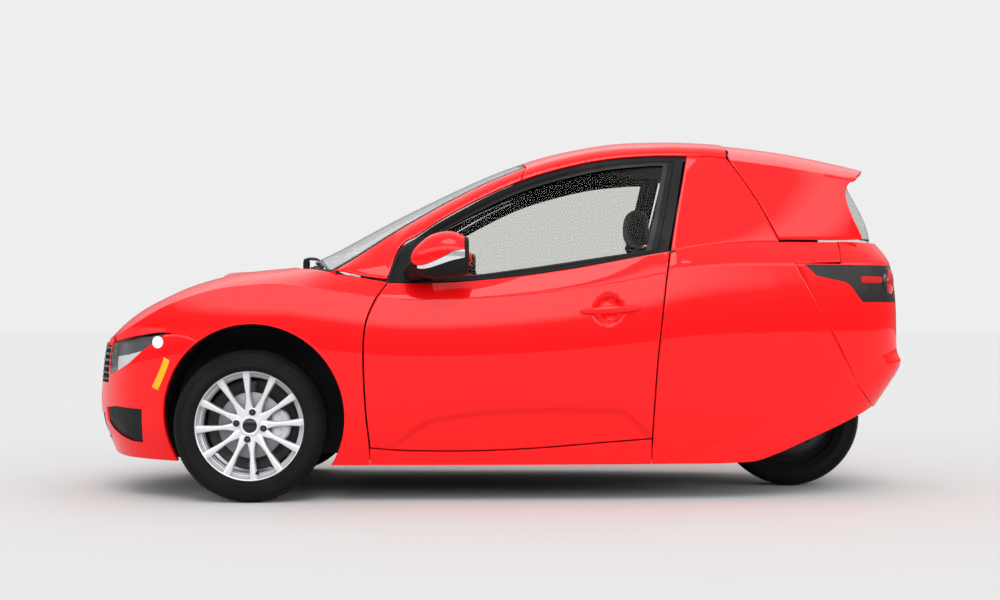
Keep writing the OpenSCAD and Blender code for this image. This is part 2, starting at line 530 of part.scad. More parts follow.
module deck_plate() {
    rows = [for (t = [0, 0.35, 0.7, 1]) [for (j = [-10:10]) real(deck_pt(j / 10, t))]];
    inner = [for (i = [0:3]) [for (j = [-10:10]) let(p = rows[i][j + 10], side = abs(j) == 10)
        p + (side ? [0, -sign(j), i == 0 ? 0 : -0.4] : i == 0 ? [1, 0, 0] : [0.4, 0, -1]) * skin]];
    plate(rows, inner);
}
TAIL_LAMP = [[-1118, 847], [-1162, 806], [-1274, 784], [-1296, 772], [-1344, 711], [-1540, 711],
    [-1540, 847]];
module tail_lamp_prism() {
    rotate([90, 0, 0]) linear_extrude(2000, center = true)
        polygon([for (p = TAIL_LAMP) [sx(p[0]), p[1] * kz]]);
}
module tail_lamp_zone() {
    intersection() {
        tail_lamp_prism();
        union() {
            block([sx(-1700), 290 * ky, 600 * kz], [sx(-1000), 800 * ky, 900 * kz]);
            block([sx(-1700), -800 * ky, 600 * kz], [sx(-1000), -290 * ky, 900 * kz]);
        }
    }
}
module plate_holes() {
    for (s = [-1, 1]) translate([sx(-1560), s * plate_pitch / 2, 630 * kz]) rotate([0, 90, 0])
        cylinder(r = plate_hole_r, h = 120, $fn = 32);
}
module rear_bumper() {
    color(RED) {
        difference() {
            tail_plate(skin);
            tail_lamp_zone();
            plate_holes();
        }
        deck_plate();
    }
}
module tail_lamps() {
    color(BLACK) intersection() {
        tail_plate(skin);
        tail_lamp_zone();
    }
}

/* Hatch */
module hatch() {
    lip = -1330;
    top = [for (i = [0:7]) let(t = i / 7) [for (j = [-8:8]) let(s = j / 8,
        x = mix(HATCH_FRONT - long_gap - 30 * pow(abs(s), 10), mix(-1418, lip, s * s), t),
        e = on_rail(max(x, -1302), EAVE))
        real([x, s * e[1], e[2] + (rail(x, ROOF_TOP) - e[2]) * (1 - pow(abs(s), 2.3))])]];
    top_in = shifted(top, [0, 0, -skin]);
    side = [for (v = [0:6]) let(t = v / 6, front = high_seam(t, HATCH_LIFT, -2, HATCH_SEAM, -940) - long_gap / 2,
        back = high_seam(t, HATCH_LIFT, -2, HATCH_TAIL, -1330)) [for (u = [0:6])
        let(x = mix(front, back, u / 6), a = rail(x, SHELF), b = rail(max(x, -1302), EAVE))
            real([x, mix(a, b, pow(t, 1.15)), high_z(x, t, HATCH_LIFT, -2)])]];
    side_in = shifted(side, [0, -skin, 0]);
    color(RED) {
        plate(top, top_in);
        both() plate(side, side_in);
    }
}
module hatch_glass() {
    rows = [for (v = [0:4]) let(z = mix(944, 1158, v / 4), edge = rail(z, HATCH_TAIL) + 8,
        a = on_rail(edge, SHELF), b = on_rail(max(edge, -1302), EAVE),
        w = mix(a[1], b[1], pow(clamp((z - 936) / (b[2] - 936), 0, 1), 1.15)) - (skin + 1) / ky)
        [for (j = [-6:6]) let(s = j / 6) real([mix(rail(z, GLASS_TAIL), edge, s * s), s * w, z])]];
    color(GLASS) plate(rows, shifted(rows, [glass_t, 0, 0]));
}
// Middle line of the rear glass, by height
GLASS_TAIL = [[940, -1453], [990, -1445], [1040, -1426], [1085, -1401], [1122, -1376], [1160, -1345]];

/* Doors */
DOOR_COLS = 12;
function door_x(z, s, gap) = mix(rail(z, DOOR_FRONT) - gap, rail(z, DOOR_REAR) + gap, s);
module door_left() {
    g = long_gap / 2;
    grid = [for (v = [0:7]) [for (u = [0:DOOR_COLS]) let(s = u / DOOR_COLS, x0 = mix(430, -590, s),
        f = rail(x0, DOOR_FOOT), c = rail(x0, CREASE), b = on_rail(x0, BELT)[2],
        z0 = v < 6 ? mix(f, c, v / 5) : mix(c, b, (v - 5) / 2), x = door_x(z0, s, g),
        c1 = on_crease(x), b1 = on_rail(x, BELT), t = (v - 5) / 2)
        real(v < 6 ? on_side(x, mix(rail(x, DOOR_FOOT), c1[2], v / 5))
            : [x, mix(c1[1], b1[1], pow(t, 1.3)), mix(c1[2], b1[2], t)])]];
    inner = [for (r = grid) [for (u = [0:DOOR_COLS]) r[u] + [u == DOOR_COLS ? 0.4 * door_t : 0, -door_t, 0]]];
    color(RED) plate(grid, inner);
}
module door_right() { right() door_left(); }
// Window frame: a ring from its outer edge to the glass
WINDOW = [[192, 965, 585], [50, 1043, 557], [-97, 1111, 533], [-245, 1157, 516], [-394, 1190, 508],
    [-543, 1206, 504], [-612, 1208, 502], [-592, 1110, 547], [-565, 990, 598], [-538, 893, 634],
    [-386, 870, 643], [-240, 848, 649], [-86, 826, 653], [110, 806, 655], [170, 850, 641]];
FRAME = [[240, 966, 598], [56, 1076, 561], [-97, 1145, 532], [-246, 1191, 512], [-394, 1222, 500],
    [-544, 1236, 490], [-686, 1238, 481], [-657, 1090, 550], [-633, 975, 603], [-613, 890, 640],
    [-386, 848, 655], [-240, 824, 662], [-86, 803, 666], [150, 781, 667], [376, 780, 666]];
FRAME_T = 34;
module ring(outer, inner, depth) {
    n = len(outer);
    o = [for (p = outer) real(p)];
    i = [for (p = inner) real(p)];
    pts = concat(o, i, [for (p = o) p + [p[0] < sx(-600) ? 0.4 : 0, -1, 0] * depth],
        [for (p = i) p + [0, -depth, 0]]);
    function next(k) = (k + 1) % n;
    polyhedron(pts, [for (k = [0:n - 1]) each concat(
        tri(k, next(k), n + next(k), n + k, true),
        tri(2 * n + k, 2 * n + next(k), 3 * n + next(k), 3 * n + k, false),
        tri(k, next(k), 2 * n + next(k), 2 * n + k, false),
        tri(n + k, n + next(k), 3 * n + next(k), 3 * n + k, true))], convexity = 8);
}
module window_frame_left() {
    color(BLACK) ring([for (p = FRAME) [p[0], p[2] - 0.5, p[1] + 1]],
        [for (p = WINDOW) [p[0], p[2], p[1]]], FRAME_T);
}
module window_frame_right() { right() window_frame_left(); }
module door_glass_left() {
    n = 7;
    top = [for (k = [0:n - 1]) let(p = WINDOW[k]) real([p[0], p[2] - 10, p[1]])];
    low = [for (k = [14, 13, 12, 11, 10, 9, 8]) let(p = WINDOW[k]) real([p[0], p[2] - 10, p[1]])];
    mid = [for (k = [0:n - 1]) mix(top[k], low[k], 0.5) + [0, 6, 0]];
    grid = [top, mid, low];
    color(GLASS) plate(grid, shifted(grid, [0, -glass_t, 0]));
}
module door_glass_right() { right() door_glass_left(); }
module mirror_left() {
    color(BLACK) {
        translate([sx(205), 812 * ky, 872 * kz]) scale(1) hull() {
            translate([52, 0, -14]) sphere(r = 38, $fn = 20);
            translate([-62, -50, 20]) sphere(r = 44, $fn = 20);
            translate([-62, 34, 12]) sphere(r = 42, $fn = 20);
        }
        rod([sx(240), 654 * ky, 832 * kz], [sx(215), 775 * ky, 850 * kz], 19);
    }
}
module mirror_right() { right() mirror_left(); }
module door_handle_left() {
    color(RED) hull() for (x = [-305, -400, -505]) translate([sx(x), (half(x, 684) + 16) * ky, 682 * kz])
        rotate([90, 0, 0]) cylinder(r = 11, h = 14, $fn = 20);
    color(RED) for (x = [-325, -485]) translate([sx(x), half(x, 684) * ky + 9, 682 * kz])
        rotate([90, 0, 0]) cylinder(r = 8, h = 8, $fn = 20);
}
module door_handle_right() { right() door_handle_left(); }

/* Structure and cabin */
module floor_pan() {
    color(BLACK) block([sx(-700), -CABIN_HALF * ky, FLOOR_LOW], [sx(506), CABIN_HALF * ky, FLOOR_TOP]);
}
module firewall() {
    w = half(497, FLOOR_TOP / kz) * ky - skin - SEAT_GAP;
    color(BLACK) block([sx(488), -w, FLOOR_TOP + SEAT_GAP], [sx(506), w, 770 * kz]);
}
module rear_bulkhead() {
    w = half(-700, FLOOR_TOP / kz) * ky - skin - 1;
    color(BLACK) {
        block([sx(-700), -w, FLOOR_TOP + SEAT_GAP], [sx(-682), w, 800 * kz]);
        block([sx(-700), -500 * ky, 790 * kz], [sx(-682), 500 * ky, 870 * kz]);
    }
}
module boot_floor() {
    low = 2 * tyre_r + LINER_GAP + LINER_T + SEAT_GAP;
    color(BLACK) block([sx(-1446), -350 * ky, low], [sx(-700) - SEAT_GAP, 350 * ky, low + 15]);
}
// The tray sits above the upper arms
TRAY_LOW = max(440 * kz, TOP_Z + 24);
TRAY_HALF = 340 * ky;
module front_boot_tray() {
    color(BLACK) difference() {
        block([sx(506) + SEAT_GAP, -TRAY_HALF, TRAY_LOW], [sx(1330), TRAY_HALF, TRAY_LOW + 160]);
        block([sx(506) + 12, 12 - TRAY_HALF, TRAY_LOW + 12], [sx(1330) - 12, TRAY_HALF - 12, TRAY_LOW + 200]);
    }
    // Buffers the closed hood rests on
    color(BLACK) for (s = [-1, 1]) let(x = sx(1330) - 8, y = s * 200 * ky)
        rod([x, y, TRAY_LOW + 140], [x, y, on_top(ux(x + 7), y / ky)[2] * kz - skin - 4.4], 7);
}
LINER_T = 5;
LINER_IN = 355;
// Free space between the rear tyre and its liner
LINER_GAP = 40;
module front_liners() {
    color(BLACK) both() intersection() {
        translate([arch_x, 0, arch_z]) rotate([-90, 0, 0]) difference() {
            translate([0, 0, LINER_IN * ky]) cylinder(r = arch_r + LINER_T, h = 330 * ky, $fn = 96);
            translate([0, 0, LINER_IN * ky + LINER_T]) cylinder(r = arch_r, h = 330 * ky, $fn = 96);
            translate([0, 0, LINER_IN * ky - 1]) cylinder(r = 160, h = 20, $fn = 64);
        }
        translate([0, 0, 150 * kz]) linear_extrude(600) polygon(concat(
            [[sx(1300), 0], [sx(400), 0]],
            [for (x = [400:100:1200]) [sx(x), half(x, 150) * ky - skin - 1]],
            [[sx(1300), 300 * ky]]));
    }
}
module rear_liner() {
    r = tyre_r + LINER_GAP;
    w = tyre_w / 2 + 70;
    color(BLACK) intersection() {
        translate([rear_axle, 0, tyre_r]) rotate([90, 0, 0]) difference() {
            cylinder(r = r + LINER_T, h = 2 * w, center = true, $fn = 72);
            cylinder(r = r, h = 2 * w + 2, center = true, $fn = 72);
        }
        block([rear_axle - r * 0.85, -w, tyre_r + 60], [rear_axle + r, w, tyre_r + 500]);
    }
}
module dashboard() {
    color(BLACK) {
        translate([0, 560 * ky, 0]) rotate([90, 0, 0]) linear_extrude(1120 * ky)
            polygon([for (p = [[487.7, 560], [487.7, 815], [450, 835], [330, 830], [262, 800], [250, 740],
                [300, 640], [380, 560]]) [sx(p[0]), p[1] * kz]]);
        along_column() translate([0, 0, COLUMN_LEN + SEAT_GAP]) cylinder(r = 26, h = 130, $fn = 40);
    }
}
module seat() {
    color([0.12, 0.12, 0.13]) translate([0, seat_w / 2, 0]) rotate([90, 0, 0]) linear_extrude(seat_w)
        polygon([for (p = [[60, 0], [80, 70], [60, 120], [-300, 90], [-440, 330], [-520, 580],
            [-510, 620], [-525, 775], [-570, 790], [-600, 760], [-605, 590], [-560, 390], [-470, 0]])
            [sx(p[0]), PACK_TOP + SEAT_GAP + p[1] * kz]]);
}
PACK_TOP = 300 * kz;
module battery_pack() {
    color(GREY) block([sx(-560), -360 * ky, FLOOR_TOP + SEAT_GAP], [sx(60), 360 * ky, PACK_TOP]);
}
module drive_motor() {
    color(GREY) block([sx(-822), -110 * ky, tyre_r + 28 + SEAT_GAP], [sx(-700) - SEAT_GAP, 110 * ky, tyre_r + 190]);
}
COLUMN = [sx(122), 0, 735 * kz];
COLUMN_TILT = 25;
COLUMN_LEN = 95;
module along_column() { translate(COLUMN) rotate([0, 90 + COLUMN_TILT, 0]) children(); }
module steering_wheel() {
    r = steer_wheel_d / 2;
    color(BLACK) along_column() {
        rotate_extrude($fn = 64) translate([r - 14, 0]) circle(r = 14, $fn = 24);
        cylinder(r = 55, h = 30, center = true, $fn = 48);
        for (a = [0, 90, 180]) rotate([0, 0, a - 90]) translate([40, -14, -7]) cube([r - 52, 28, 14]);
        cylinder(r = 18, h = COLUMN_LEN, $fn = 32);
    }
}
module front_suspension() {
    color(GREY) {
        block([front_axle - 60, -LINER_IN + 20, ARM_Z], [front_axle + 60, LINER_IN - 20, ARM_Z + 24]);
        both() {
            block([front_axle - 17, LINER_IN - 20, ARM_Z], [front_axle + 17, king_y + 16, ARM_Z + 16]);
            block([front_axle - 15, LINER_IN - 60, TOP_Z + 6], [front_axle + 15, king_y + 14, TOP_Z + 20]);
            block([front_axle - 30, LINER_IN - 70, ARM_Z + 24], [front_axle + 30, LINER_IN - 30, TRAY_LOW - SEAT_GAP]);
        }
    }
}
module knuckle_left() {
    color(GREY) {
        // King pin, held between the two arms
        translate([front_axle, king_y, ARM_Z + 16 + SEAT_GAP])
            cylinder(r = 15, h = TOP_Z - ARM_Z - 10 - 2 * SEAT_GAP, $fn = 48);
        translate([front_axle, king_y, tyre_r]) rotate([-90, 0, 0])
            cylinder(r = axle_r, h = hub_y + 14 - king_y, $fn = 48);
        translate([front_axle, king_y - 14, tyre_r]) rotate([-90, 0, 0]) cylinder(r = 42, h = 22, $fn = 48);
        block([front_axle - 85, king_y - 12, tyre_r - 30], [front_axle, disc_y - CALIPER_IN - SEAT_GAP, tyre_r + 30]);
    }
}
module knuckle_right() { right() knuckle_left(); }
// Middle of the disc to the caliper's inner face
CALIPER_IN = 30;
module caliper_left() {
    color(SILVER) difference() {
        intersection() {
            translate([front_axle, disc_y - CALIPER_IN, tyre_r]) rotate([-90, 0, 0]) difference() {
                cylinder(r = disc_r + 22, h = 50, $fn = 72);
                translate([0, 0, -1]) cylinder(r = 66, h = 60, $fn = 48);
            }
            block([front_axle - 160, 0, tyre_r - 56], [front_axle - 30, 900, tyre_r + 62]);
        }
        translate([front_axle, disc_y - disc_t / 2 - 5, tyre_r]) rotate([-90, 0, 0])
            cylinder(r = disc_r + 6, h = disc_t + 10, $fn = 72);
    }
}
module caliper_right() { right() caliper_left(); }

/* Wheels */
module on_axle(x, y) { translate([x, y, tyre_r]) rotate([-90, 0, 0]) children(); }
module tyre_ring(w, bead_r) {
    r = tyre_r;
    rotate_extrude($fn = 96) polygon([[bead_r, -w / 2 + 22], [bead_r, -w / 2 + 10], [bead_r + 10, -w / 2 + 4],
        [(bead_r + r) / 2, -w / 2], [r - 16, -w / 2 + 10], [r - 3, -w / 2 + 24], [r, -w / 2 + 40],
        [r, w / 2 - 40], [r - 3, w / 2 - 24], [r - 16, w / 2 - 10], [(bead_r + r) / 2, w / 2],
        [bead_r + 10, w / 2 - 4], [bead_r, w / 2 - 10], [bead_r, w / 2 - 22]]);
}
module tyre_left() { color(BLACK) on_axle(front_axle, wheel_y) tyre_ring(tyre_w, rim_r - 8); }
module tyre_right() { color(BLACK) on_axle(front_axle, -wheel_y) tyre_ring(tyre_w, rim_r - 8); }
module rear_tyre() { color(BLACK) on_axle(rear_axle, 0) tyre_ring(tyre_w, rim_r - 20); }
module barrel(r, w) {
    rotate_extrude($fn = 96) polygon([[r - 22, -w / 2], [r - 8.3, -w / 2], [r - 8.3, w / 2], [r - 22, w / 2],
        [r - 22, w / 2 - 12], [r - 16, w / 2 - 24], [r - 16, -w / 2 + 24], [r - 22, -w / 2 + 12]]);
}
module rim_left() {
    face = hub_y - wheel_y;
    color(SILVER) on_axle(front_axle, wheel_y) difference() {
        union() {
            barrel(rim_r, tyre_w - 44);
            translate([0, 0, face]) cylinder(r = 62, h = 22, $fn = 64);
            for (k = [0:spokes - 1]) rotate([0, 0, (k + 0.5) * 360 / spokes + 4])
                translate([50, 0, face + 1]) linear_extrude(15) polygon([[0, -11], [rim_r - 62, -8],
                    [rim_r - 62, 8], [0, 11]]);
        }
        translate([0, 0, -200]) cylinder(r = axle_r + hub_fit, h = 400, $fn = 48);
    }
}
module rim_right() { right() rim_left(); }
module brake_disc_left() {
    color(GREY) on_axle(front_axle, disc_y) difference() {
        union() {
            translate([0, 0, -disc_t / 2]) cylinder(r = disc_r, h = disc_t, $fn = 72);
            cylinder(r = 60, h = hub_y - disc_y, $fn = 64);
        }
        translate([0, 0, -50]) cylinder(r = axle_r + hub_fit, h = 200, $fn = 48);
    }
}
module brake_disc_right() { right() brake_disc_left(); }
REAR_ARM_Y = tyre_w / 2 + 18;
module rear_rim() {
    w = tyre_w - 44;
    color(GREY) on_axle(rear_axle, 0) difference() {
        union() {
            barrel(rim_r - 12, w);
            rotate_extrude($fn = 72) polygon([[0, -30], [60, -30], [95, 20], [rim_r - 30, 34], [rim_r - 30, 44],
                [88, 32], [52, -12], [52, 30], [0, 30]]);
        }
        translate([0, 0, -200]) cylinder(r = axle_r + hub_fit, h = 400, $fn = 48);
    }
}
module swing_arm() {
    color(GREY) {
        for (s = [-1, 1]) block([rear_axle - 45, s * (REAR_ARM_Y + 14) - 14, tyre_r - 28],
            [sx(-700) - SEAT_GAP, s * (REAR_ARM_Y + 14) + 14, tyre_r + 28]);
        block([sx(-700) - 70, -REAR_ARM_Y, tyre_r - 28], [sx(-700) - SEAT_GAP, REAR_ARM_Y, tyre_r - 2]);
        on_axle(rear_axle, -REAR_ARM_Y - 4) cylinder(r = axle_r, h = 2 * REAR_ARM_Y + 8, $fn = 48);
    }
}

hood();
hood_inlet();
fender_left();
fender_right();
front_bumper();
front_grille();
headlights();
side_markers();
cowl();
wipers();
windscreen();
roof();
a_pillar_left();
a_pillar_right();
rocker_left();
rocker_right();
quarter_left();
quarter_right();
rear_bumper();
tail_lamps();
hatch();
hatch_glass();
floor_pan();
firewall();
rear_bulkhead();
boot_floor();
front_boot_tray();
crash_beam();
front_liners();
rear_liner();
dashboard();
seat();
battery_pack();
drive_motor();
steering_wheel();
front_suspension();
swing_arm();
door_left();
window_frame_left();
door_glass_left();
mirror_left();
door_handle_left();
door_right();
window_frame_right();
door_glass_right();
mirror_right();
door_handle_right();
knuckle_left();
caliper_left();
rim_left();
brake_disc_left();
tyre_left();
knuckle_right();
caliper_right();
rim_right();
brake_disc_right();
tyre_right();
rear_rim();
rear_tyre();
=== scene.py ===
"""Single-seat three-wheeled coupe: painted panels, glass, lamps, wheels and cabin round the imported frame."""
import json
import math

import bmesh
import bpy
import numpy as np
from mathutils import Matrix, Vector

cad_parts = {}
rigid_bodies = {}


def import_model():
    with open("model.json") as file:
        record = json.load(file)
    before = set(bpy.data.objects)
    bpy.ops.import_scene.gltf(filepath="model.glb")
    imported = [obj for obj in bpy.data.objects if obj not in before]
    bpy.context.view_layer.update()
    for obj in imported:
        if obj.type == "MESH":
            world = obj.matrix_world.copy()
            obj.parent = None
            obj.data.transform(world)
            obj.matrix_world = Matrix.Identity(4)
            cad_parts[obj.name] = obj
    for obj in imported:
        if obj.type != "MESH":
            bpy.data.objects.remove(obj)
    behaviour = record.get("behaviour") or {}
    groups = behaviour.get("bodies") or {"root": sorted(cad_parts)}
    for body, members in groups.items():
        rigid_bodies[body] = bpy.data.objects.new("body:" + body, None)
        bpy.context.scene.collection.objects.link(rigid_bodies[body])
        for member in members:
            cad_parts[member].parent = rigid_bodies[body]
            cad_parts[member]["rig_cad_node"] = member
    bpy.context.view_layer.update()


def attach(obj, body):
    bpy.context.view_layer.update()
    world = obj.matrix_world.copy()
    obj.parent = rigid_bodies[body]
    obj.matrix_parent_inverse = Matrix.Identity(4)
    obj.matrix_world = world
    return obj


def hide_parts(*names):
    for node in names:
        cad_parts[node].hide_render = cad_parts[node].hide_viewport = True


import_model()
MM = 0.001

# ---------------------------------------------------------------- lines of the body, in millimetres
FRONT_AXLE, REAR_AXLE, WHEEL_R, WHEEL_Y = 872, -1145, 270, 610
# Powers of the rounded plans of nose and tail, of the roof's crown and of the lean above the belt
NOSE_POWER, TAIL_POWER, CROWN_POWER, SIDE_LEAN = 2.4, 5, 2.3, 1.15
# Height where hood and bumper meet, rear end of the hood, upper rear corner of the fender and its height
NOSE_TOP, HOOD_REAR, FENDER_CORNER, CORNER_Z = 562, 744, 419, 728
# Corner of the deck under the hatch, and the width and height of the tow cover's middle
DECK_CORNER, TOW = -1262, (260, 355)
# Middle and radius of the hollow behind the door handle
HOLLOW_X, HOLLOW_Z, HOLLOW_R = -399, 682.5, 51
ARCH_X, ARCH_Z, ARCH_R = 857, 306, 326
NOSE_START, TAIL_START, SILL = 750, -1000, 131
WIDEST = [[-1000, 592], [-900, 620], [-700, 665], [-500, 690], [-200, 714], [150, 727], [500, 730],
          [750, 726]]
SECTION = [[0, 0.905], [0.25, 0.965], [0.55, 1], [0.8, 0.998], [1, 0.975]]
CREASE = [[-1421, 862], [-1250, 858], [-1074, 851], [-900, 851], [-797, 846], [-673, 831], [-527, 798],
          [-310, 762], [-95, 736], [121, 722], [336, 721], [480, 736], [625, 757], [769, 774], [916, 765],
          [1005, 750], [1170, 697], [1345, 611], [1450, 574], [1520, 560]]
NOSE = [[130, 1478], [196, 1510], [257, 1537], [332, 1545], [459, 1537], [558, 1522], [620, 1500]]
TAIL = [[300, -1425], [324, -1440], [408, -1500], [455, -1532], [490, -1545], [520, -1530], [560, -1526],
        [730, -1520], [850, -1500], [915, -1470], [950, -1448]]
HOOD_TOP = [[700, 848], [800, 839], [900, 829], [1000, 812], [1085, 790], [1148, 768], [1211, 741],
            [1274, 713], [1337, 680], [1400, 643], [1462, 600], [1522, 558]]
ROOF_TOP = [[-1420, 1211], [-1370, 1232], [-1274, 1257], [-1086, 1293], [-897, 1317], [-740, 1328],
            [-600, 1330], [-456, 1324], [-331, 1305], [-205, 1278], [-79, 1239], [47, 1190], [173, 1133],
            [299, 1073], [424, 1010], [550, 941], [640, 893], [720, 850]]
BELT = [[-640, 640, 893], [-529, 650, 874], [-312, 660, 834], [-95, 667, 802], [122, 668, 781],
        [260, 668, 776], [382, 667, 777]]
SHELF = [[-1372, 385, 936], [-1266, 425, 932], [-1028, 505, 930], [-865, 560, 924], [-722, 605, 907],
         [-640, 634, 893]]
EAVE = [[-1302, 390, 1169], [-1149, 420, 1194], [-1028, 440, 1211], [-821, 465, 1234], [-694, 480, 1238],
        [-544, 490, 1236], [-394, 500, 1222], [-246, 512, 1191], [-97, 532, 1145], [50, 560, 1080],
        [196, 590, 1000], [275, 605, 945], [346, 620, 894], [385, 666, 779]]
SCREEN_EDGE = [[-1300, 340, 1206], [-900, 385, 1277], [-694, 408, 1289], [-547, 420, 1285],
               [-400, 430, 1274], [-255, 447, 1245], [-110, 467, 1202], [30, 487, 1145], [170, 510, 1074],
               [255, 525, 1025], [330, 543, 980], [402, 562, 934], [500, 594, 868], [590, 622, 812]]
DOOR_FRONT = [[120, 441], [196, 444], [300, 454], [404, 460], [520, 463], [600, 460], [664, 446],
              [728, 416], [777, 382]]
DOOR_REAR = [[120, -556], [226, -558], [360, -565], [510, -575], [700, -596], [817, -610], [893, -622],
             [1053, -655], [1238, -694]]
DOOR_FOOT = [[-560, 226], [-364, 212], [-134, 194], [96, 185], [325, 187], [445, 196]]
QUARTER_FOOT = [[-1397, 322], [-1352, 301], [-1100, 195], [-1010, 158], [-920, 134], [-560, 131]]
REAR_SEAM = [[300, -1410], [324, -1397], [410, -1329], [667, -1188], [860, -1075]]
HATCH_SEAM = [[930, -1034], [1069, -960], [1150, -908], [1233, -849], [1335, -775]]
FENDER_FRONT = [[1045, 572], [1162, 601], [1278, 591], [1400, 567]]
FENDER_INNER = [[416, 664, 780], [500, 655, 797], [590, 630, 815], [640, 575, 826], [700, 480, 833],
                [744, 435, 836]]
HATCH_TAIL = [[930, -1366], [980, -1343], [1030, -1318], [1095, -1296], [1140, -1300], [1172, -1330]]
GLASS_TAIL = [[940, -1453], [990, -1445], [1040, -1426], [1085, -1401], [1122, -1376], [1160, -1345]]
PILLAR = [[560, 590], [470, 500], [392, 402], [352, 330], [270, 255], [196, 170], [124, 100], [50, 30],
          [-24, -44], [-90.5, -109.5]]
PILLAR_FOOT = [[392, 664, 785], [470, 655, 795], [560, 636, 811]]
LAMP = [[1162, 601], [1278, 590], [1400, 566], [1425, 560], [1440, 500], [1436, 446], [1381, 462],
        [1321, 490], [1254, 543], [1207, 572]]
INTAKE = [[1269, 326], [1272, 204], [1320, 207], [1372, 222], [1420, 244], [1464, 276], [1500, 318],
          [1400, 332]]
TAIL_LAMP = [[-1118, 847], [-1162, 806], [-1274, 784], [-1296, 772], [-1344, 711], [-1560, 711],
             [-1560, 847]]
# Upper edge of the hollow pressed into the lower door, and the crease of the rear skirt, by length
SCOOP = [[-640, 120], [-636, 143], [-555, 233], [-479, 311], [-456, 326], [-364, 334], [-172, 336],
         [50, 325], [187, 307], [249, 288], [375, 193], [440, 131]]
SKIRT = [[-1500, 520], [-1395, 461], [-1308, 409], [-1050, 302], [-851, 222], [-644, 139]]
EAVE_END = EAVE[0][0]
GAP = 5.5


def mix(a, b, t):
    return a + (b - a) * t


def clamp(v, low=0.0, high=1.0):
    return min(max(v, low), high)


def ease(t):
    t = clamp(t)
    return t * t * (3 - 2 * t)


def rail(x, points, column=1):
    """One column of a smooth curve through points, read at x."""
    i = 0
    while i < len(points) - 2 and x > points[i + 1][0]:
        i += 1
    a, b = points[i], points[i + 1]
    h = b[0] - a[0]
    t = clamp((x - a[0]) / h)
    u = 1 - t

    def slope(k):
        p, q = points[max(k - 1, 0)], points[min(k + 1, len(points) - 1)]
        return (q[column] - p[column]) / (q[0] - p[0])

    return ((1 + 2 * t) * u * u * a[column] + t * u * u * h * slope(i)
            + t * t * (3 - 2 * t) * b[column] - t * t * u * h * slope(i + 1))


def on_rail(x, points):
    return np.array([x, rail(x, points, 1), rail(x, points, 2)])


def share(x, z):
    return rail(clamp((z - SILL) / (rail(x, CREASE) - SILL)), SECTION)


def nose_point(turn, z):
    """Plan outline of the nose at a height: turn 0 at the side, 90 on the centre line."""
    s, c = math.sin(math.radians(turn)), max(math.cos(math.radians(turn)), 0)
    return np.array([NOSE_START + (rail(z, NOSE) - NOSE_START) * s ** (2 / NOSE_POWER),
                     rail(NOSE_START, WIDEST) * share(NOSE_START, z) * c ** (2 / NOSE_POWER), z])


def nose_turn(x, z):
    return math.degrees(math.asin(clamp((x - NOSE_START) / (rail(z, NOSE) - NOSE_START)) ** (NOSE_POWER / 2)))


def tail_point(turn, z):
    s, c = math.sin(math.radians(turn)), max(math.cos(math.radians(turn)), 0)
    x = TAIL_START + (rail(z, TAIL) - TAIL_START) * s ** (2 / TAIL_POWER)
    wide = (rail(TAIL_START, WIDEST) + (x - TAIL_START) * 0.35) * share(-1200, z)
    return np.array([x, wide * c ** (2 / TAIL_POWER), z])


def tail_turn(x, z):
    return math.degrees(math.asin(clamp((x - TAIL_START) / (rail(z, TAIL) - TAIL_START)) ** (TAIL_POWER / 2)))


def half(x, z):
    """Half width of the body's side."""
    if x > NOSE_START:
        return nose_point(nose_turn(x, z), z)[1]
    if x < TAIL_START:
        return tail_point(tail_turn(x, z), z)[1]
    return rail(x, WIDEST) * share(x, z)


def pressed(x, z):
    """How far the side is pressed in: the hollow of the lower door and the fold of the rear skirt."""
    below = rail(x, SCOOP) - z if -640 < x < 440 else -1
    hollow = 11 * ease(below / 16) * ease((z - 120) / 150)
    fold = 9 * math.exp(-abs(z - rail(x, SKIRT)) / 45) * ease((-560 - x) / 150) if x < -560 else 0
    far = math.hypot(x - HOLLOW_X, z - HOLLOW_Z)
    return hollow + fold + 19 * ease((HOLLOW_R - far) / 13)


def on_side(x, z):
    return np.array([x, half(x, z) - pressed(x, z), z])


def on_crease(x):
    """Shoulder line of the body: a fine groove along the fender and the door."""
    z = rail(x, CREASE)
    return np.array([x, half(x, z) - 3.5 * ease((1150 - x) / 300) * ease((x + 640) / 60), z])


def bulge(x, y):
    """Raised middle of the hood."""
    rise = clamp((1165 - x) / 125) if x > 1040 else clamp((x - 820) / 220) ** 1.4
    return 26 * max(0, 1 - (y / 190) ** 2) ** 1.5 * rise


def on_top(x, y):
    c = on_crease(x)
    z = rail(x, HOOD_TOP)
    return np.array([x, y, z - (z - c[2]) * clamp(abs(y) / c[1]) ** 4])


def hood_side(x):
    return mix(432, 395, clamp((x - HOOD_REAR) / 650))


def on_roof(x, s):
    e = on_rail(x, SCREEN_EDGE)
    return np.array([x, s * e[1], e[2] + (rail(x, ROOF_TOP) - e[2]) * (1 - abs(s) ** CROWN_POWER)])


def low_z(x, t):
    return mix(rail(x, QUARTER_FOOT), rail(x, CREASE), t)


def high_z(x, t, low, high):
    return mix(rail(x, SHELF, 2) + low, rail(x, EAVE, 2) + high, t)


def seam_x(height, seam, x):
    """Where a seam given by height meets a line whose height depends on x."""
    for _ in range(4):
        x = rail(height(x), seam)
    return x


# ---------------------------------------------------------------- mesh building
def put(name, data):
    """A new object in the scene."""
    thing = bpy.data.objects.new(name, data)
    bpy.context.scene.collection.objects.link(thing)
    return thing


def mesh_of(bm):
    """The mesh of a finished bmesh, which is freed."""
    mesh = bpy.data.meshes.new("work")
    bm.to_mesh(mesh)
    bm.free()
    return mesh


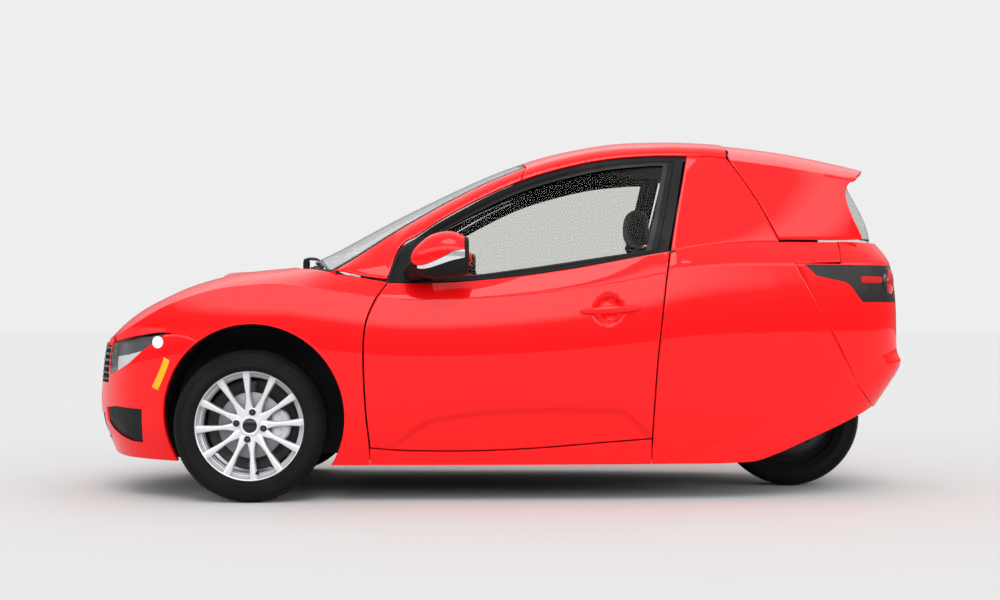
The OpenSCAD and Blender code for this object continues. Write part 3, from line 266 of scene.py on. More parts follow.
def evaluated(thing):
    """The mesh of an object after its modifiers; the object is removed."""
    bpy.context.view_layer.update()
    mesh = bpy.data.meshes.new_from_object(thing.evaluated_get(bpy.context.evaluated_depsgraph_get()))
    bpy.data.objects.remove(thing)
    return mesh


def tucked(mesh):
    """The nose pulled in either side of its middle, and the tail and the roof's top by a hair."""
    for v in mesh.vertices:
        if v.co.x > 1.3:
            v.co.x -= 0.026 * ease((v.co.x - 1.3) / 0.2) * (0.35 + 0.65 * ease(abs(v.co.y) / 0.2))
        v.co.x += 0.002 * ease((-1.5 - v.co.x) / 0.045)
        v.co.z -= 0.001 * ease((v.co.z - 1.25) / 0.08)


def keep(name, mesh, material, body="root", replaces=(), smooth=40):
    """A finished piece: closed mesh at the origin, riding on a body."""
    tucked(mesh)
    piece = put(name, mesh)
    if material:
        mesh.materials.clear()
        mesh.materials.append(material)
    if smooth:
        mesh.shade_smooth()
        mesh.set_sharp_from_angle(angle=math.radians(smooth))
    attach(piece, body)
    if replaces:
        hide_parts(*replaces)
    return piece


def sheets(name, grids, scale=MM):
    """One open mesh from grids of points; points that meet are welded. Faces look away from the middle."""
    verts, faces = [], []
    for grid in grids:
        base, rows, cols = len(verts), len(grid), len(grid[0])
        verts += [tuple(float(v) * scale for v in p) for row in grid for p in row]
        faces += [(base + r * cols + c, base + r * cols + c + 1, base + (r + 1) * cols + c + 1,
                   base + (r + 1) * cols + c) for r in range(rows - 1) for c in range(cols - 1)]
    mesh = bpy.data.meshes.new(name)
    mesh.from_pydata(verts, [], faces)
    bm = bmesh.new()
    bm.from_mesh(mesh)
    bmesh.ops.remove_doubles(bm, verts=bm.verts, dist=0.4 * MM)
    bmesh.ops.recalc_face_normals(bm, faces=bm.faces)
    middle = Vector((0, 0, 0.5))
    if sum(f.normal.dot(f.calc_center_median() - middle) * f.calc_area() for f in bm.faces) < 0:
        bmesh.ops.reverse_faces(bm, faces=bm.faces)
    bm.to_mesh(mesh)
    bm.free()
    return mesh


def finished(mesh, *modifiers, cutters=(), meeting=()):
    """The mesh after its modifiers and cuts."""
    thing = put("work", mesh)
    for kind, settings in modifiers:
        m = thing.modifiers.new(kind, kind)
        for key, value in settings.items():
            setattr(m, key, value)
    for operation, tools in (("DIFFERENCE", cutters), ("INTERSECT", meeting)):
        for tool in tools:
            m = thing.modifiers.new("cut", "BOOLEAN")
            m.operation, m.object, m.solver = operation, tool, "MANIFOLD"
    return evaluated(thing)


def thick(depth, rim=2.2, segments=2):
    """Modifiers that give a sheet its thickness and a rounded rim."""
    return (("SOLIDIFY", dict(thickness=depth * MM, offset=-1)),
            ("BEVEL", dict(width=rim * MM, segments=segments, limit_method="ANGLE",
                           angle_limit=math.radians(55), harden_normals=False)))


def panel(name, grids, material, body="root", depth=14, rim=2.2, cutters=(), replaces=(), slot="red_paint",
          inside=None):
    """Sheet of bodywork or glass, with another finish on its back where one is named."""
    mesh, modifiers = sheets(name, grids), thick(depth, rim)
    if inside:
        mesh.materials.append(material)
        mesh.materials.append(inside)
        modifiers[0][1]["material_offset"] = 1
    return keep(name, finished(mesh, *modifiers, cutters=cutters), None if inside else material, body,
                replaces)


def mirrored(grids):
    return [[[np.array([p[0], -p[1], p[2]]) for p in row] for row in grid] for grid in grids]


def both_sides(name, grids, material, bodies=("root", "root"), replaces=(), **settings):
    """The same panel on the left and, mirrored, on the right."""
    for side, body, points in (("left", bodies[0], grids), ("right", bodies[1], mirrored(grids))):
        old = [f"{node}_{side}" for node in replaces]
        panel(f"{name}_{side}", points, material, body, replaces=old, **settings)


CUTTERS = []


def cutter(mesh):
    """A tool for cuts, which is removed at the end."""
    tool = put("cutter", mesh)
    tool.hide_render = True
    CUTTERS.append(tool)
    return tool


def prism(points, low, high):
    """Cutting block: an outline given by length and height, drawn out across the car."""
    bm = bmesh.new()
    ring = []
    for y in (low, high):
        ring.append([bm.verts.new((p[0] * MM, y * MM, p[1] * MM)) for p in points])
    bm.faces.new(ring[0])
    bm.faces.new(list(reversed(ring[1])))
    for k in range(len(points)):
        j = (k + 1) % len(points)
        bm.faces.new((ring[0][k], ring[0][j], ring[1][j], ring[1][k]))
    bmesh.ops.recalc_face_normals(bm, faces=bm.faces)
    return cutter(mesh_of(bm))


def prisms(points, low, high):
    """The same cutting block on the left and on the right."""
    return [prism(points, low, high), prism(points, -high, -low)]


def lofted(rings, loop=False, caps=True):
    """Closed skin through rings of points in millimetres; open ends are capped, and a loop joins its ends."""
    bm = bmesh.new()
    rows = [[bm.verts.new([float(v) * MM for v in p]) for p in ring] for ring in rings]
    count = len(rows[0])
    for a, b in zip(rows, rows[1:] + rows[:1] if loop else rows[1:]):
        for k in range(count):
            j = (k + 1) % count
            bm.faces.new((a[k], a[j], b[j], b[k]))
    if caps and not loop:
        bm.faces.new(rows[0])
        bm.faces.new(list(reversed(rows[-1])))
    bmesh.ops.remove_doubles(bm, verts=bm.verts, dist=0.02 * MM)
    bmesh.ops.dissolve_degenerate(bm, edges=bm.edges, dist=0.01 * MM)
    bmesh.ops.recalc_face_normals(bm, faces=bm.faces)
    return mesh_of(bm)


def turned(profile, segments=96, at=(0, 0, 0), axis="Y"):
    """A closed profile of (radius, place along the axis) turned into a solid."""
    rings = []
    for k in range(segments):
        c, s = math.cos(math.tau * k / segments), math.sin(math.tau * k / segments)
        turn = {"Y": lambda r, y: (r * c, y, r * s), "X": lambda r, x: (x, r * c, r * s),
                "Z": lambda r, z: (r * c, r * s, z)}[axis]
        rings.append([np.array(turn(r, v)) + at for r, v in profile])
    return lofted(rings, loop=True)


def joined(*meshes):
    bm = bmesh.new()
    for mesh in meshes:
        bm.from_mesh(mesh)
    return mesh_of(bm)


def placed(mesh, x=0, y=0, z=0, turn=None):
    mesh = mesh.copy()
    if turn:
        mesh.transform(Matrix.Rotation(math.radians(turn[1]), 4, turn[0]))
    mesh.transform(Matrix.Translation((x * MM, y * MM, z * MM)))
    return mesh


def opposite(mesh):
    """The same shape on the other side of the car."""
    mesh = mesh.copy()
    mesh.transform(Matrix.Scale(-1, 4, (0, 1, 0)))
    mesh.flip_normals()
    return mesh


def pair(name, mesh, material, bodies=("root", "root"), replaces=(), smooth=40):
    other = opposite(mesh)
    keep(f"{name}_left", mesh, material, bodies[0], [f"{n}_left" for n in replaces], smooth)
    keep(f"{name}_right", other, material, bodies[1], [f"{n}_right" for n in replaces], smooth)


def tube(path, radius, sides=12, closed=False):
    """Round bar along a path; the radius may be a list, one for each point."""
    path = [np.array(p, float) for p in path]
    rings, up = [], np.array([0.03, 0.05, 1.0])
    for k, p in enumerate(path):
        a, b = path[max(k - 1, 0)], path[min(k + 1, len(path) - 1)]
        if closed:
            a, b = path[k - 1], path[(k + 1) % len(path)]
        along = (b - a) / np.linalg.norm(b - a)
        if abs(along @ up) > 0.95 * np.linalg.norm(up):
            up = np.array([1.0, 0.05, 0.03])
        u = np.cross(along, up)
        u /= np.linalg.norm(u)
        v = np.cross(along, u)
        r = radius[k] if isinstance(radius, (list, tuple)) else radius
        rings.append([p + r * (u * math.cos(math.tau * i / sides) + v * math.sin(math.tau * i / sides))
                      for i in range(sides)])
    return lofted(rings, loop=closed)


def rounded(mesh, width, segments=2, angle=35):
    return finished(mesh, ("BEVEL", dict(width=width * MM, segments=segments, limit_method="ANGLE",
                                         angle_limit=math.radians(angle))))


def brick(low, high, width=3, segments=2):
    """Block with rounded edges."""
    rings = [[(x, low[1], low[2]), (x, high[1], low[2]), (x, high[1], high[2]), (x, low[1], high[2])]
             for x in (low[0], high[0])]
    return rounded(lofted(rings), width, segments)


def slab(outline, low, high, width=2, segments=2):
    """Side outline of (length, height) drawn out across the car, with rounded edges."""
    return rounded(lofted([[(x, y, z) for x, z in outline] for y in (low, high)]), width, segments)


def curve_through(points, each):
    """Smooth line through points, each stretch in equal steps."""
    points = [np.array(p, float) for p in points]
    line = []
    for k in range(len(points) - 1):
        a, b, c, d = points[max(k - 1, 0)], points[k], points[k + 1], points[min(k + 2, len(points) - 1)]
        for i in range(each):
            t = i / each
            line.append(0.5 * (2 * b + (c - a) * t + (2 * a - 5 * b + 4 * c - d) * t * t
                               + (3 * b - a - 3 * c + d) * t ** 3))
    return line + [points[-1]]


# ---------------------------------------------------------------- geometry nodes for what repeats
def node_tree(name, sockets):
    tree = bpy.data.node_groups.new(name, "GeometryNodeTree")
    tree.interface.new_socket("Geometry", in_out="INPUT", socket_type="NodeSocketGeometry")
    for label, kind in sockets:
        tree.interface.new_socket(label, in_out="INPUT", socket_type=f"NodeSocket{kind}")
    tree.interface.new_socket("Geometry", in_out="OUTPUT", socket_type="NodeSocketGeometry")
    return tree, tree.nodes.new("NodeGroupInput"), tree.nodes.new("NodeGroupOutput")


def maths(tree, operation, a, b):
    node = tree.nodes.new("ShaderNodeMath")
    node.operation = operation
    for socket, value in zip(node.inputs, (a, b)):
        if isinstance(value, (int, float)):
            socket.default_value = value
        else:
            tree.links.new(value, socket)
    return node.outputs[0]


def ring_tree():
    """Copies of a pattern set round the Y axis."""
    tree, given, out = node_tree("ring_of_pattern", [("Pattern", "Object"), ("Count", "Int"),
                                                     ("First Angle", "Float"), ("Finish", "Material")])
    points, index = tree.nodes.new("GeometryNodePoints"), tree.nodes.new("GeometryNodeInputIndex")
    info, angle = tree.nodes.new("GeometryNodeObjectInfo"), tree.nodes.new("ShaderNodeCombineXYZ")
    place = tree.nodes.new("GeometryNodeInstanceOnPoints")
    real = tree.nodes.new("GeometryNodeRealizeInstances")
    coat, link = tree.nodes.new("GeometryNodeSetMaterial"), tree.links.new
    link(given.outputs["Count"], points.inputs["Count"])
    link(given.outputs["Pattern"], info.inputs["Object"])
    step = maths(tree, "DIVIDE", math.tau, given.outputs["Count"])
    link(maths(tree, "ADD", maths(tree, "MULTIPLY", index.outputs[0], step), given.outputs["First Angle"]),
         angle.inputs["Y"])
    link(points.outputs[0], place.inputs["Points"])
    link(info.outputs["Geometry"], place.inputs["Instance"])
    link(angle.outputs[0], place.inputs["Rotation"])
    link(place.outputs[0], real.inputs[0])
    link(real.outputs[0], coat.inputs["Geometry"])
    link(given.outputs["Finish"], coat.inputs["Material"])
    link(coat.outputs[0], out.inputs[0])
    return tree


def wire_tree():
    """Round wire along every edge."""
    tree, given, out = node_tree("wires_on_edges", [("Radius", "Float"), ("Finish", "Material")])
    curve = tree.nodes.new("GeometryNodeMeshToCurve")
    profile = tree.nodes.new("GeometryNodeCurvePrimitiveCircle")
    wire, real = tree.nodes.new("GeometryNodeCurveToMesh"), tree.nodes.new("GeometryNodeRealizeInstances")
    coat, link = tree.nodes.new("GeometryNodeSetMaterial"), tree.links.new
    profile.inputs["Resolution"].default_value = 6
    wire.inputs["Fill Caps"].default_value = True
    link(given.outputs["Geometry"], curve.inputs["Mesh"])
    link(given.outputs["Radius"], profile.inputs["Radius"])
    link(curve.outputs[0], wire.inputs["Curve"])
    link(profile.outputs[0], wire.inputs["Profile Curve"])
    link(wire.outputs[0], real.inputs[0])
    link(real.outputs[0], coat.inputs["Geometry"])
    link(given.outputs["Finish"], coat.inputs["Material"])
    link(coat.outputs[0], out.inputs[0])
    return tree


def grown(tree, mesh, **inputs):
    """Plain mesh that a node tree makes of a mesh, with the tree's named inputs set first."""
    thing = put("work", mesh)
    m = thing.modifiers.new("nodes", "NODES")
    m.node_group = tree
    for socket in tree.interface.items_tree:
        if socket.in_out == "INPUT" and socket.name.replace(" ", "_") in inputs:
            m[socket.identifier] = inputs[socket.name.replace(" ", "_")]
    return evaluated(thing)


RING, WIRES = ring_tree(), wire_tree()


def ring_of(mesh, count, material, first=0.0):
    pattern = put("pattern", mesh)
    result = grown(RING, bpy.data.meshes.new("empty"), Pattern=pattern, Count=count, First_Angle=first,
                   Finish=material)
    bpy.data.objects.remove(pattern)
    return result


def wires(grid, radius, material, slanted=True):
    """Mesh of wires over a grid of points: slanted both ways, or square."""
    rows, cols = len(grid), len(grid[0])
    verts = [tuple(float(v) * MM for v in p) for row in grid for p in row]
    edges = []
    for r in range(rows):
        for c in range(cols):
            k = r * cols + c
            if slanted:
                if r + 1 < rows and c + 1 < cols and (r + c) % 2 == 0:
                    edges += [(k, k + cols + 1)]
                if r + 1 < rows and c > 0 and (r + c) % 2 == 0:
                    edges += [(k, k + cols - 1)]
            else:
                edges += [(k, k + 1)] * (c + 1 < cols) + [(k, k + cols)] * (r + 1 < rows)
    mesh = bpy.data.meshes.new("wires")
    mesh.from_pydata(verts, edges, [])
    bm = bmesh.new()
    bm.from_mesh(mesh)
    bmesh.ops.delete(bm, geom=[v for v in bm.verts if not v.link_edges], context="VERTS")
    bm.to_mesh(mesh)
    bm.free()
    return grown(WIRES, mesh, Radius=radius * MM, Finish=material)


def box_tool(low, high):
    corners = [(low[0], low[2]), (high[0], low[2]), (high[0], high[2]), (low[0], high[2])]
    return prism(corners, low[1], high[1])


def steps(n):
    return [i / n for i in range(n + 1)]


# ---------------------------------------------------------------- finishes
def shader(name, colour, roughness, metallic=0.0, **sockets):
    """A material with its Principled shader; returns (material, nodes, links, shader)."""
    material = bpy.data.materials.new(name)
    material.use_nodes = True
    nodes, links = material.node_tree.nodes, material.node_tree.links
    bsdf = nodes["Principled BSDF"]
    bsdf.inputs["Base Color"].default_value = (*colour, 1)
    bsdf.inputs["Roughness"].default_value = roughness
    bsdf.inputs["Metallic"].default_value = metallic
    for socket, value in sockets.items():
        bsdf.inputs[socket.replace("_", " ")].default_value = value
    return material, nodes, links, bsdf


def noise(nodes, links, scale, detail=3.0, rough=0.5, stretch=(1, 1, 1)):
    where = nodes.new("ShaderNodeTexCoord")
    mapping = nodes.new("ShaderNodeMapping")
    mapping.inputs["Scale"].default_value = stretch
    texture = nodes.new("ShaderNodeTexNoise")
    texture.inputs["Scale"].default_value = scale
    texture.inputs["Detail"].default_value = detail
    texture.inputs["Roughness"].default_value = rough
    links.new(where.outputs["Object"], mapping.inputs["Vector"])
    links.new(mapping.outputs["Vector"], texture.inputs["Vector"])
    return texture.outputs["Fac"]


def ranged(nodes, links, source, low, high, start=0.3, end=0.7):
    scale = nodes.new("ShaderNodeMapRange")
    for socket, value in (("From Min", start), ("From Max", end), ("To Min", low), ("To Max", high)):
        scale.inputs[socket].default_value = value
    links.new(source, scale.inputs["Value"])
    return scale.outputs["Result"]


def bumped(nodes, links, bsdf, source, height, distance=0.001):
    bump = nodes.new("ShaderNodeBump")
    bump.inputs["Strength"].default_value = height
    bump.inputs["Distance"].default_value = distance
    links.new(source, bump.inputs["Height"])
    links.new(bump.outputs["Normal"], bsdf.inputs["Normal"])


def toned(nodes, links, bsdf, source, dark, light):
    """Base colour that drifts between two tones."""
    ramp = nodes.new("ShaderNodeMix")
    ramp.data_type = "RGBA"
    ramp.inputs[6].default_value = (*dark, 1)
    ramp.inputs[7].default_value = (*light, 1)
    links.new(source, ramp.inputs["Factor"])
    links.new(ramp.outputs[2], bsdf.inputs["Base Color"])


def finish(name, dark, light, roughness, grain, height, metallic=0.0, spread=0.08, stretch=(1, 1, 1),
           **sockets):
    """Moulded, cast or brushed finish: two tones, uneven gloss and a fine grain."""
    material, nodes, links, bsdf = shader(name, light, roughness, metallic, **sockets)
    toned(nodes, links, bsdf, ranged(nodes, links, noise(nodes, links, 6, 4), 0, 1), dark, light)
    links.new(ranged(nodes, links, noise(nodes, links, 14, 3), roughness - spread, roughness + spread),
              bsdf.inputs["Roughness"])
    bumped(nodes, links, bsdf, noise(nodes, links, grain, 2, stretch=stretch), height)
    return material


def paint(name, colour):
    """Clear-coated paint with fine flake and a slight ripple in the coat."""
    material, nodes, links, bsdf = shader(name, colour, 0.4, 0.0, Coat_Weight=0.6, Coat_Roughness=0.03,
                                          Specular_IOR_Level=0.05)
    flake = ranged(nodes, links, noise(nodes, links, 900, 1), 0, 1, 0.35, 0.65)
    toned(nodes, links, bsdf, flake, tuple(c * 0.93 for c in colour), tuple(min(c * 1.04, 1) for c in colour))
    bumped(nodes, links, bsdf, noise(nodes, links, 60, 2), 0.05, 0.0004)
    return material


RED = paint("red_paint", (0.93, 0.004, 0.006))
TRIM = finish("black_trim", (0.007, 0.007, 0.0075), (0.012, 0.012, 0.0125), 0.5, 420, 0.2,
              Specular_IOR_Level=0.14)
GLOSS_BLACK = finish("piano_black", (0.006, 0.006, 0.007), (0.01, 0.01, 0.011), 0.12, 90, 0.03, spread=0.03)
RUBBER = finish("tyre_rubber", (0.005, 0.005, 0.0053), (0.009, 0.009, 0.0094), 0.7, 300, 0.3,
                Specular_IOR_Level=0.14)
ALLOY = finish("alloy", (0.77, 0.77, 0.8), (0.82, 0.82, 0.86), 0.32, 120, 0.004, metallic=0.5, spread=0.03)
STEEL = finish("disc_steel", (0.22, 0.225, 0.24), (0.3, 0.305, 0.32), 0.4, 60, 0.1, metallic=0.6,
               stretch=(1, 30, 1))
CALIPER = finish("caliper_silver", (0.50, 0.51, 0.52), (0.66, 0.67, 0.68), 0.45, 180, 0.3, metallic=0.4)
CAST = finish("cast_grey", (0.06, 0.062, 0.065), (0.11, 0.113, 0.118), 0.55, 160, 0.4, metallic=0.5)
BLACK_STEEL = finish("black_steel", (0.016, 0.017, 0.018), (0.034, 0.035, 0.037), 0.5, 120, 0.25)
WHEEL_STEEL = finish("painted_steel", (0.02, 0.021, 0.023), (0.036, 0.038, 0.041), 0.5, 150, 0.2,
                     metallic=0.3)
CABIN = finish("cabin_plastic", (0.018, 0.018, 0.02), (0.032, 0.032, 0.035), 0.6, 500, 0.45)
CHROME = finish("bright_metal", (0.8, 0.81, 0.83), (0.88, 0.89, 0.91), 0.14, 40, 0.01, metallic=0.75,
                spread=0.03)
GREY_MESH = finish("grey_mesh", (0.30, 0.31, 0.33), (0.42, 0.43, 0.45), 0.4, 200, 0.1, metallic=0.3)
LAMP_GREY = finish("lamp_grey", (0.06, 0.062, 0.07), (0.12, 0.123, 0.135), 0.3, 30, 0.05, metallic=0.3)
CHASSIS = finish("chassis_black", (0.009, 0.009, 0.0095), (0.016, 0.016, 0.017), 0.7, 180, 0.4,
                 Specular_IOR_Level=0.25)
LINING = finish("headlining", (0.035, 0.035, 0.034), (0.055, 0.055, 0.053), 0.85, 700, 0.5,
                Specular_IOR_Level=0.2)
CARPET = finish("carpet", (0.012, 0.012, 0.013), (0.03, 0.03, 0.032), 0.95, 900, 0.9, Specular_IOR_Level=0.1)
LEATHER = finish("grip_leather", (0.012, 0.012, 0.012), (0.022, 0.022, 0.023), 0.5, 350, 0.5)
FABRIC = finish("seat_weave", (0.018, 0.018, 0.02), (0.05, 0.05, 0.054), 0.9, 1100, 0.9, Sheen_Weight=0.25)


def clear(name, tint, roughness=0.0, ior=1.45):
    """See-through glass or plastic with a faint unevenness in its gloss."""
    material, nodes, links, bsdf = shader(name, tint, roughness, 0.0, Transmission_Weight=1.0, IOR=ior)
    uneven = ranged(nodes, links, noise(nodes, links, 3, 2), roughness, roughness + 0.02)
    links.new(uneven, bsdf.inputs["Roughness"])
    return material


SIDE_GLASS = clear("tinted_glass", (0.8, 0.8, 0.78), ior=1.12)
SCREEN_GLASS = clear("screen_glass", (0.86, 0.88, 0.9), ior=1.25)
LENS = clear("clear_lens", (0.96, 0.97, 0.98), ior=1.2)
AMBER = clear("amber_lens", (1.0, 0.44, 0.008), 0.12)
AMBER.node_tree.nodes["Principled BSDF"].inputs["Transmission Weight"].default_value = 0.05
LENS_WHITE = finish("lamp_white", (0.8, 0.8, 0.82), (0.9, 0.9, 0.92), 0.35, 80, 0.05)
SEAL = finish("rubber_seal", (0.004, 0.004, 0.004), (0.008, 0.008, 0.008), 0.6, 300, 0.2)
GLOSS_TAIL = finish("smoked_plastic", (0.008, 0.008, 0.009), (0.012, 0.012, 0.013), 0.25, 60, 0.03,
                    spread=0.05)
RED_LENS = clear("red_lens", (0.75, 0.01, 0.01), 0.08)
RED_LENS.node_tree.nodes["Principled BSDF"].inputs["Transmission Weight"].default_value = 0.2

# ---------------------------------------------------------------- fender, hood and nose
arch_start = -math.degrees(math.asin((ARCH_Z - SILL) / ARCH_R))
arch_seam = 180 - math.degrees(math.acos((1045 - ARCH_X) / ARCH_R))


def arch_point(a):
    return ARCH_X - ARCH_R * math.cos(math.radians(a)), ARCH_Z + ARCH_R * math.sin(math.radians(a))


def fender_edge(t):
    if t < 0.5:
        z = mix(SILL, CORNER_Z, t / 0.5)
        return rail(z, DOOR_FRONT) + GAP / 2 + 1, z
    x = mix(FENDER_CORNER, 1157, (t - 0.5) / 0.5)
    return x, rail(x, CREASE)


def fender_inner(x):
    if x > HOOD_REAR:
        return on_top(x, hood_side(x) + GAP / 2)
    return on_rail(x, FENDER_INNER)


columns, crest = [], []
for i in range(113):
    t = i / 112
    columns.append((arch_point(mix(arch_start, arch_seam, t)), fender_edge(t)))
    if t >= 0.5:
        crest.append(fender_edge(t)[0])
for x in np.linspace(1162, 1400, 22):
    edge = mix(1166, 1410, (x - 1162) / 238)
    columns.append(((x, rail(x, FENDER_FRONT)), (edge, rail(edge, CREASE))))
    crest.append(edge)
side = []
for (x0, z0), (x1, z1) in columns:
    side.append([on_side(mix(x0, x1, t), mix(z0, z1, t)) for t in [*steps(26)[:-1], 0.985, 0.994, 1]])
    side[-1][-1] = np.array([x1, on_crease(x1)[1] if (x1, z1) != (x0, z0) and abs(z1 - rail(x1, CREASE)) < 0.1
                             else half(x1, z1), z1])


def fender_top(x, t):
    c, g = on_crease(x), fender_inner(x)
    y = mix(c[1], g[1], t)
    if x > HOOD_REAR:
        return np.array([x, y, on_top(x, y)[2]])
    z = mix(c[2], g[2], t) + 44 * t * (1 - t) * (x - 416) / 328
    # The rear edge follows the door's leaning front edge
    lean = FENDER_CORNER - rail(z, DOOR_FRONT) - GAP / 2 - 1
    return np.array([x - lean * clamp(1 - (x - FENDER_CORNER) / 150) * (t > 0), y, z])


top = [[fender_top(x, t) for t in [0, 0.012, 0.03, *steps(18)[1:]]] for x in crest]
both_sides("fender_panel", [side, top], RED, replaces=["fender"], depth=12, inside=CHASSIS)


def hood_front(y):
    w = rail(NOSE_START, WIDEST) * share(NOSE_START, NOSE_TOP)
    turn = math.degrees(math.acos(clamp(abs(y) / w) ** (NOSE_POWER / 2)))
    return nose_point(turn, NOSE_TOP)[0] - 6


hood_grid = []
for i in range(91):
    row = []
    for j in range(-48, 49):
        s = j / 48
        x = mix(750, hood_front(s * 395), i / 90)
        y = s * (hood_side(x) - GAP / 2)
        p = on_top(x, y)
        row.append(np.array([x, y, p[2] + bulge(x, y)]))
    hood_grid.append(row)
inlet = prism([(1052, 700), (1146, 700), (1146, 900), (1052, 900)], -128, 128)
panel("hood_panel", [hood_grid], RED, "hood", depth=16, cutters=[inlet], replaces=["hood"])


def bumper_top(turn):
    p = nose_point(turn, NOSE_TOP)
    return on_top(p[0] - 6, p[1])[2] - 8 if p[0] > 1425 else rail(p[0], FENDER_FRONT) - 5


def bumper_grid(back=0.0, across=80, up=46, foot=140):
    grid = []
    for j in range(-across, across + 1):
        s, column = abs(j) / across, []
        for i in range(up + 1):
            t = i / up
            guess = mix(foot, 560, t)
            x = ARCH_X + math.sqrt(max(ARCH_R ** 2 - (guess - ARCH_Z) ** 2, 0))
            turn = mix(90, nose_turn(x, guess), s ** 0.9)
            z = mix(foot + 12 * (1 - s), bumper_top(turn), t)
            x = ARCH_X + math.sqrt(max(ARCH_R ** 2 - (z - ARCH_Z) ** 2, 0))
            turn = mix(90, nose_turn(x, z), s ** 0.9)
            p, q = nose_point(turn, z), nose_point(turn + 0.5, z)
            n = np.array([p[1] - q[1], q[0] - p[0], 0])
            n /= np.linalg.norm(n) + 1e-9
            p = p - n * back
            column.append(np.array([p[0], math.copysign(p[1], j) if j else 0.0, p[2]]))
        grid.append(column)
    return grid


lamp_cut = prisms(LAMP, 200, 760)
grille_cut = box_tool((1300, -405, 415), (1600, 405, 552))
lower_cut = box_tool((1300, -330, 205), (1600, 330, 300))
intake_cut = prisms(INTAKE, 372, 740)
bm = bmesh.new()
bmesh.ops.create_cone(bm, cap_ends=True, segments=32, radius1=0.021, radius2=0.021, depth=0.12,
                      matrix=Matrix.Translation((1.501, TOW[0] * MM, TOW[1] * MM))
                      @ Matrix.Rotation(math.pi / 2, 4, "Y"))
tow_cut = cutter(mesh_of(bm))
panel("front_bumper_panel", [bumper_grid()], RED, depth=12, replaces=["front_bumper"],
      cutters=[*lamp_cut, grille_cut, lower_cut, *intake_cut, tow_cut])

# ---------------------------------------------------------------- roof, pillars and glass
def band(low, high, t):
    p = mix(on_rail(low, EAVE), on_rail(high, SCREEN_EDGE), t)
    return p + np.array([0, 40 * t * (1 - t), 24 * t * (1 - t)])


roof_grid = []
for i in range(71):
    x = mix(-93, -844, i / 70)
    left = [band(x, x - 20 * (1 - i / 70), t) + np.array([0, 0, 7.8 * (1 - t)]) for t in steps(8)][:-1]
    arc = [on_roof(x - 20 * s * s * (1 - i / 70), s) for s in np.linspace(1, -1, 57)]
    roof_grid.append(left + arc + [np.array([p[0], -p[1], p[2]]) for p in reversed(left)])
panel("roof_panel", [roof_grid], RED, depth=14, replaces=["roof"], inside=LINING)

pillar_path = []
for k in range(len(PILLAR) - 1):
    for t in steps(6)[: 7 if k == len(PILLAR) - 2 else 6]:
        pillar_path.append(mix(np.array(PILLAR[k], float), np.array(PILLAR[k + 1], float), t))
pillar_grid = []
for low, high in pillar_path:
    foot = on_rail(low, PILLAR_FOOT) if low > 385 else on_rail(low, EAVE)
    head = on_rail(high, SCREEN_EDGE)
    pillar_grid.append([mix(foot, head, t) + np.array([0, 40 * t * (1 - t), 24 * t * (1 - t) + 7.8 * (1 - t)])
                        for t in steps(10)])
both_sides("pillar_panel", [pillar_grid], RED, replaces=["a_pillar"], depth=10, inside=LINING)


def screen_foot(s):
    return mix(592, 700, 1 - s * s)


screen = [[on_roof(mix(screen_foot(s), -85 - 20 * s * s, i / 40), s) for s in np.linspace(-0.985, 0.985, 41)]
          for i in range(41)]
panel("windscreen_glass", [screen], SCREEN_GLASS, depth=5, rim=1, replaces=["windscreen"], slot="glass")

# ---------------------------------------------------------------- body sides
rocker_grid = []
for i in range(81):
    x = mix(443.6, -556.6, i / 80)
    foot = rail(x, DOOR_FOOT) - 6
    rocker_grid.append([on_side(x, mix(SILL, foot, t)) for t in steps(10)])
both_sides("rocker_panel", [rocker_grid], RED, replaces=["rocker"], depth=16)

low_rows = []
for t in steps(56):
    front = seam_x(lambda x: low_z(x, t), DOOR_REAR, -590) - GAP / 2
    back = seam_x(lambda x: low_z(x, t), REAR_SEAM, -1220)
    low_rows.append([on_side(mix(front, back, u), low_z(mix(front, back, u), t)) for u in steps(70)])
crest = [p[0] for p in low_rows[-1]]
low_rows[-1] = [on_crease(x) for x in crest]
behind = list(np.linspace(crest[-1], -1257, 15))[1:]
shoulder = []
for t in steps(14):
    front = rail(mix(rail(crest[0], CREASE), 893, t ** 0.75), DOOR_REAR) - GAP / 2
    row = []
    for k, x in enumerate(crest + behind):
        x = mix(front, crest[-1], k / (len(crest) - 1)) if k < len(crest) and t > 0 else x
        c, e = on_crease(x), on_rail(x, SHELF)
        row.append(np.array([x, mix(c[1], e[1], t), mix(c[2], e[2], t ** 0.75)]))
    shoulder.append(row)
upper = []
for t in steps(30):
    front = seam_x(lambda x: high_z(x, t, -3, 5), DOOR_REAR, -640) - GAP / 2
    back = seam_x(lambda x: high_z(x, t, -3, 5), HATCH_SEAM, -940) + GAP / 2
    upper.append([np.array([x, mix(rail(x, SHELF), rail(x, EAVE), t ** SIDE_LEAN), high_z(x, t, -3, 5)])
                  for x in (mix(front, back, u) for u in steps(30))])
both_sides("quarter_panel", [low_rows, shoulder], RED, replaces=["quarter"], depth=12, inside=CABIN)
both_sides("quarter_window_panel", [upper], RED, depth=12, inside=LINING)

